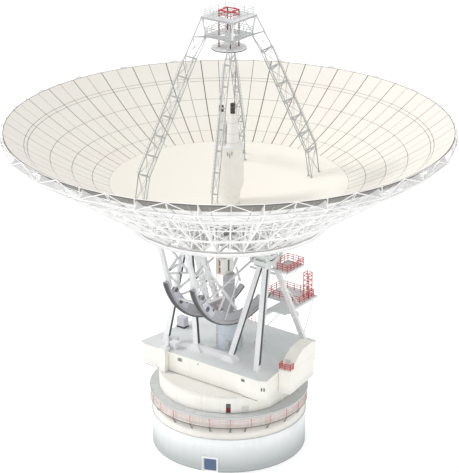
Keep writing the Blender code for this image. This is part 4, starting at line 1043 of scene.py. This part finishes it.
def build_pedestal():
    rail, posts, brackets, lip, capping = shapes(5)
    line = [polar(GALLERY_RADIUS, angle, GALLERY_Z) for angle in range(0, 360, 5)]
    for start, end in loop(line):
        for level in (0.6, 1.0, GALLERY_RAIL):
            rail.rod(start + up(level), end + up(level), 0.07)
    for angle in range(0, 360, 5):
        post = polar(GALLERY_RADIUS, angle + 0.5, GALLERY_Z)
        rail.rod(post, post + up(GALLERY_RAIL), 0.05)
    for angle in range(8, 360, 15):
        post = polar(GALLERY_RADIUS + 0.02, angle, GALLERY_Z)
        posts.rod(post, post + up(1.6), 0.13, 8)
        posts.rod(post + up(1.3), post + up(1.6), 0.26, 8)
    on_pedestal(rail, "gallery_handrail", PALE_PINK, ("gallery_rail",), "red_paint")
    on_pedestal(posts, "gallery_lamp_posts", PINK)
    for angle in (-141, -123, -98, -82, -67, -52, -41, -23, -6, 12, 34, 60, 90, 120, 150, 178):
        for offset in (-0.7, 0.7):
            foot = polar(12.06, angle - offset, 6.9)
            brackets.bar(foot, polar(12.62, angle + offset, 7.9), 0.05, 0.08)
        brackets.bar(polar(12.02, angle, 7.85), polar(12.66, angle, 7.85), 0.1, 0.12)
    on_pedestal(brackets, "gallery_brackets", DARK)
    on_pedestal(Shape().band(12.48, 12.53, 5.8, 0.04, DRUM_STEPS), "drum_ledge", GREY)
    # Dark bands on the wall just under the gallery and on the gallery's edge: a painted shadow line
    lip.band(12.0, 12.1, 7.66, 0.06, DRUM_STEPS)
    lip.band(12.74, 12.77, 8.0, 0.06, DRUM_STEPS)
    on_pedestal(lip, "gallery_edges_painted_shadow", SEAM_AND_SHADOW)
    capping.band(12.78, 12.82, 9.69, 0.19, DRUM_STEPS)
    for angle in range(0, 360, 10):
        capping.bar(polar(11.5, angle, 9.915), polar(12.72, angle, 9.915), 0.06, 0.03)
    on_pedestal(capping, "roof_edge_capping", ROOF)
    slats, surround = shapes(2)
    turn = turned_frame(DOOR_AZIMUTH, 12.13)
    for i in range(16):
        z = 0.24 + 0.12 * i
        slats.box((-0.96, -0.03, z), (0.96, 0.03, z + 0.095), turn)
    slats.box((-0.97, -0.04, 0.165), (0.97, 0.05, 0.235), turn)
    surround.box((-1.4, 0.02, 2.36), (1.4, 0.5, 2.62), turn)
    for x in (-1.32, 1.16):
        surround.box((x, 0.12, 0.02), (x + 0.16, 0.36, 2.36), turn)
    on_pedestal(slats, "shutter_slats", BLUE, ("roller_shutter",), "shutter_blue_grey")
    on_pedestal(surround, "shutter_surround", WHITE, bevel=0.02)


def build_skirt():
    panels, door, red, slats = shapes(4)
    turn = turned_frame(PORCH_AZIMUTH, SKIRT_RADIUS)
    for x0, x1, z in ((-1.2, -0.37, 9.98), (0.37, 1.2, 9.98), (-0.4, 0.4, 11.6)):
        panels.box((x0, -0.05, z), (x1, 0.06, 12.7), turn)
    door.box((-0.4, -0.24, 9.98), (0.4, -0.18, 11.7), turn)
    red.box((-0.36, -0.18, 10.0), (0.36, -0.13, 10.75), turn)
    turn = turned_frame(LOUVRE_AZIMUTH, SKIRT_RADIUS)
    panels.box((-0.7, -0.06, 10.0), (0.7, 0.05, 11.25), turn)
    for i in range(8):
        z = 10.1 + 0.13 * i
        slats.box((-0.6, 0.04, z), (0.6, 0.08, z + 0.07), turn)
    for angle in range(-172, 175, 24):
        if abs(angle - PORCH_AZIMUTH) > 9:
            panels.box((-0.04, -0.03, 10.05), (0.04, 0.03, 12.7), turned_frame(angle, SKIRT_RADIUS))
    on_alidade(panels, "skirt_panels_and_porch", SKIRT_IVORY, bevel=0.02)
    on_alidade(door, "skirt_door", DARK)
    on_alidade(red, "skirt_door_lower_panel", HOIST_RED)
    on_alidade(slats, "skirt_louvre", PALE_GREY)


def paint_nodes():
    """Better materials on the solids that stay in view."""
    paints = {
        WALL: ["pedestal_floor", *(f"pedestal_wall_{i}" for i in (1, 2, 3, 4))],
        BAND: ["pedestal_band"],
        ROOF: ["pedestal_roof"],
        GREY: ["azimuth_runner", "elevation_girder", "centre_column"],
        IVORY: ["house_floor", "house_walls", "stair_hut", "cable_trunk", "instrument_box"],
        SKIRT_IVORY: ["azimuth_skirt"],
        DECK: ["deck_plate", "upper_platform", "lower_platform"],
        LIGHT_BLUE: ["cable_drum"],
        BEARING_PAINT: ["bearing_housing_right", "bearing_housing_left"],
        BRIGHT: ["ring_beam", "hub_drum", *(f"back_frame_{i}" for i in (1, 2, 3, 4))],
        WARM_WHITE: ["feed_tower"],
        # painted shade: the greyer, mottled back outer legs
        MOTTLED: ["leg_right_back_outer", "leg_left_back_outer"],
    }
    owners = {name: material for material, names in paints.items() for name in names}
    for name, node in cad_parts.items():
        node.data.materials.clear()
        node.data.materials.append(owners.get(name, WHITE))


# Room, light and camera


def build_stage():
    floor = Surface("floor_pale", (0.75, 0.75, 0.75), 0.8)
    floor.patches((0.735, 0.735, 0.735), 0.02, 0.4, 0.7, 0.6)
    floor.shader.inputs["Emission Color"].default_value = (1, 1, 1, 1)
    floor.shader.inputs["Emission Strength"].default_value = FLOOR_GLOW
    mesh = bpy.data.meshes.new("floor")
    mesh.from_pydata(square(FLOOR_REACH, 0), [], [(0, 1, 2, 3)])
    mesh.materials.append(floor.done(0.75, 0.9, 0.02, 2.0))
    ground = bpy.data.objects.new("floor", mesh)
    scene.collection.objects.link(ground)
    world = bpy.data.worlds.new("pale_room")
    world.use_nodes = True
    background = world.node_tree.nodes["Background"].inputs
    background["Color"].default_value = (1, 1, 1, 1)
    background["Strength"].default_value = ROOM_LIGHT
    scene.world = world
    scene.view_settings.view_transform = "Standard"


def build_light_and_camera():
    light = bpy.data.lights.new("key_light", "SUN")
    light.energy = KEY_LIGHT
    light.angle = radians(14)
    light.color = (1.0, 0.985, 0.96)
    key = bpy.data.objects.new("key_light", light)
    key.rotation_mode = "QUATERNION"
    key.rotation_quaternion = Vector(KEY_LIGHT_FROM).to_track_quat("Z", "Y")
    lens = bpy.data.cameras.new("camera")
    lens.lens = LENS
    lens.shift_x = LENS_SHIFT
    lens.clip_end = 2000
    camera = bpy.data.objects.new("camera", lens)
    camera.location = CAMERA_PLACE
    camera.rotation_euler = (radians(90 - CAMERA_DIP), 0, radians(CAMERA_TURN))
    for obj in (key, camera):
        scene.collection.objects.link(obj)
    scene.camera = camera


build_light_and_camera()
build_stage()
paint_nodes()
build_reflector()
build_back_structure()
build_rim()
build_quadripod()
build_apex()
build_feed()
build_ring()
build_wheels()
build_bearings()
build_towers()
build_platforms()
build_house()
build_hut()
build_deck_centre()
build_pedestal()
build_skirt()
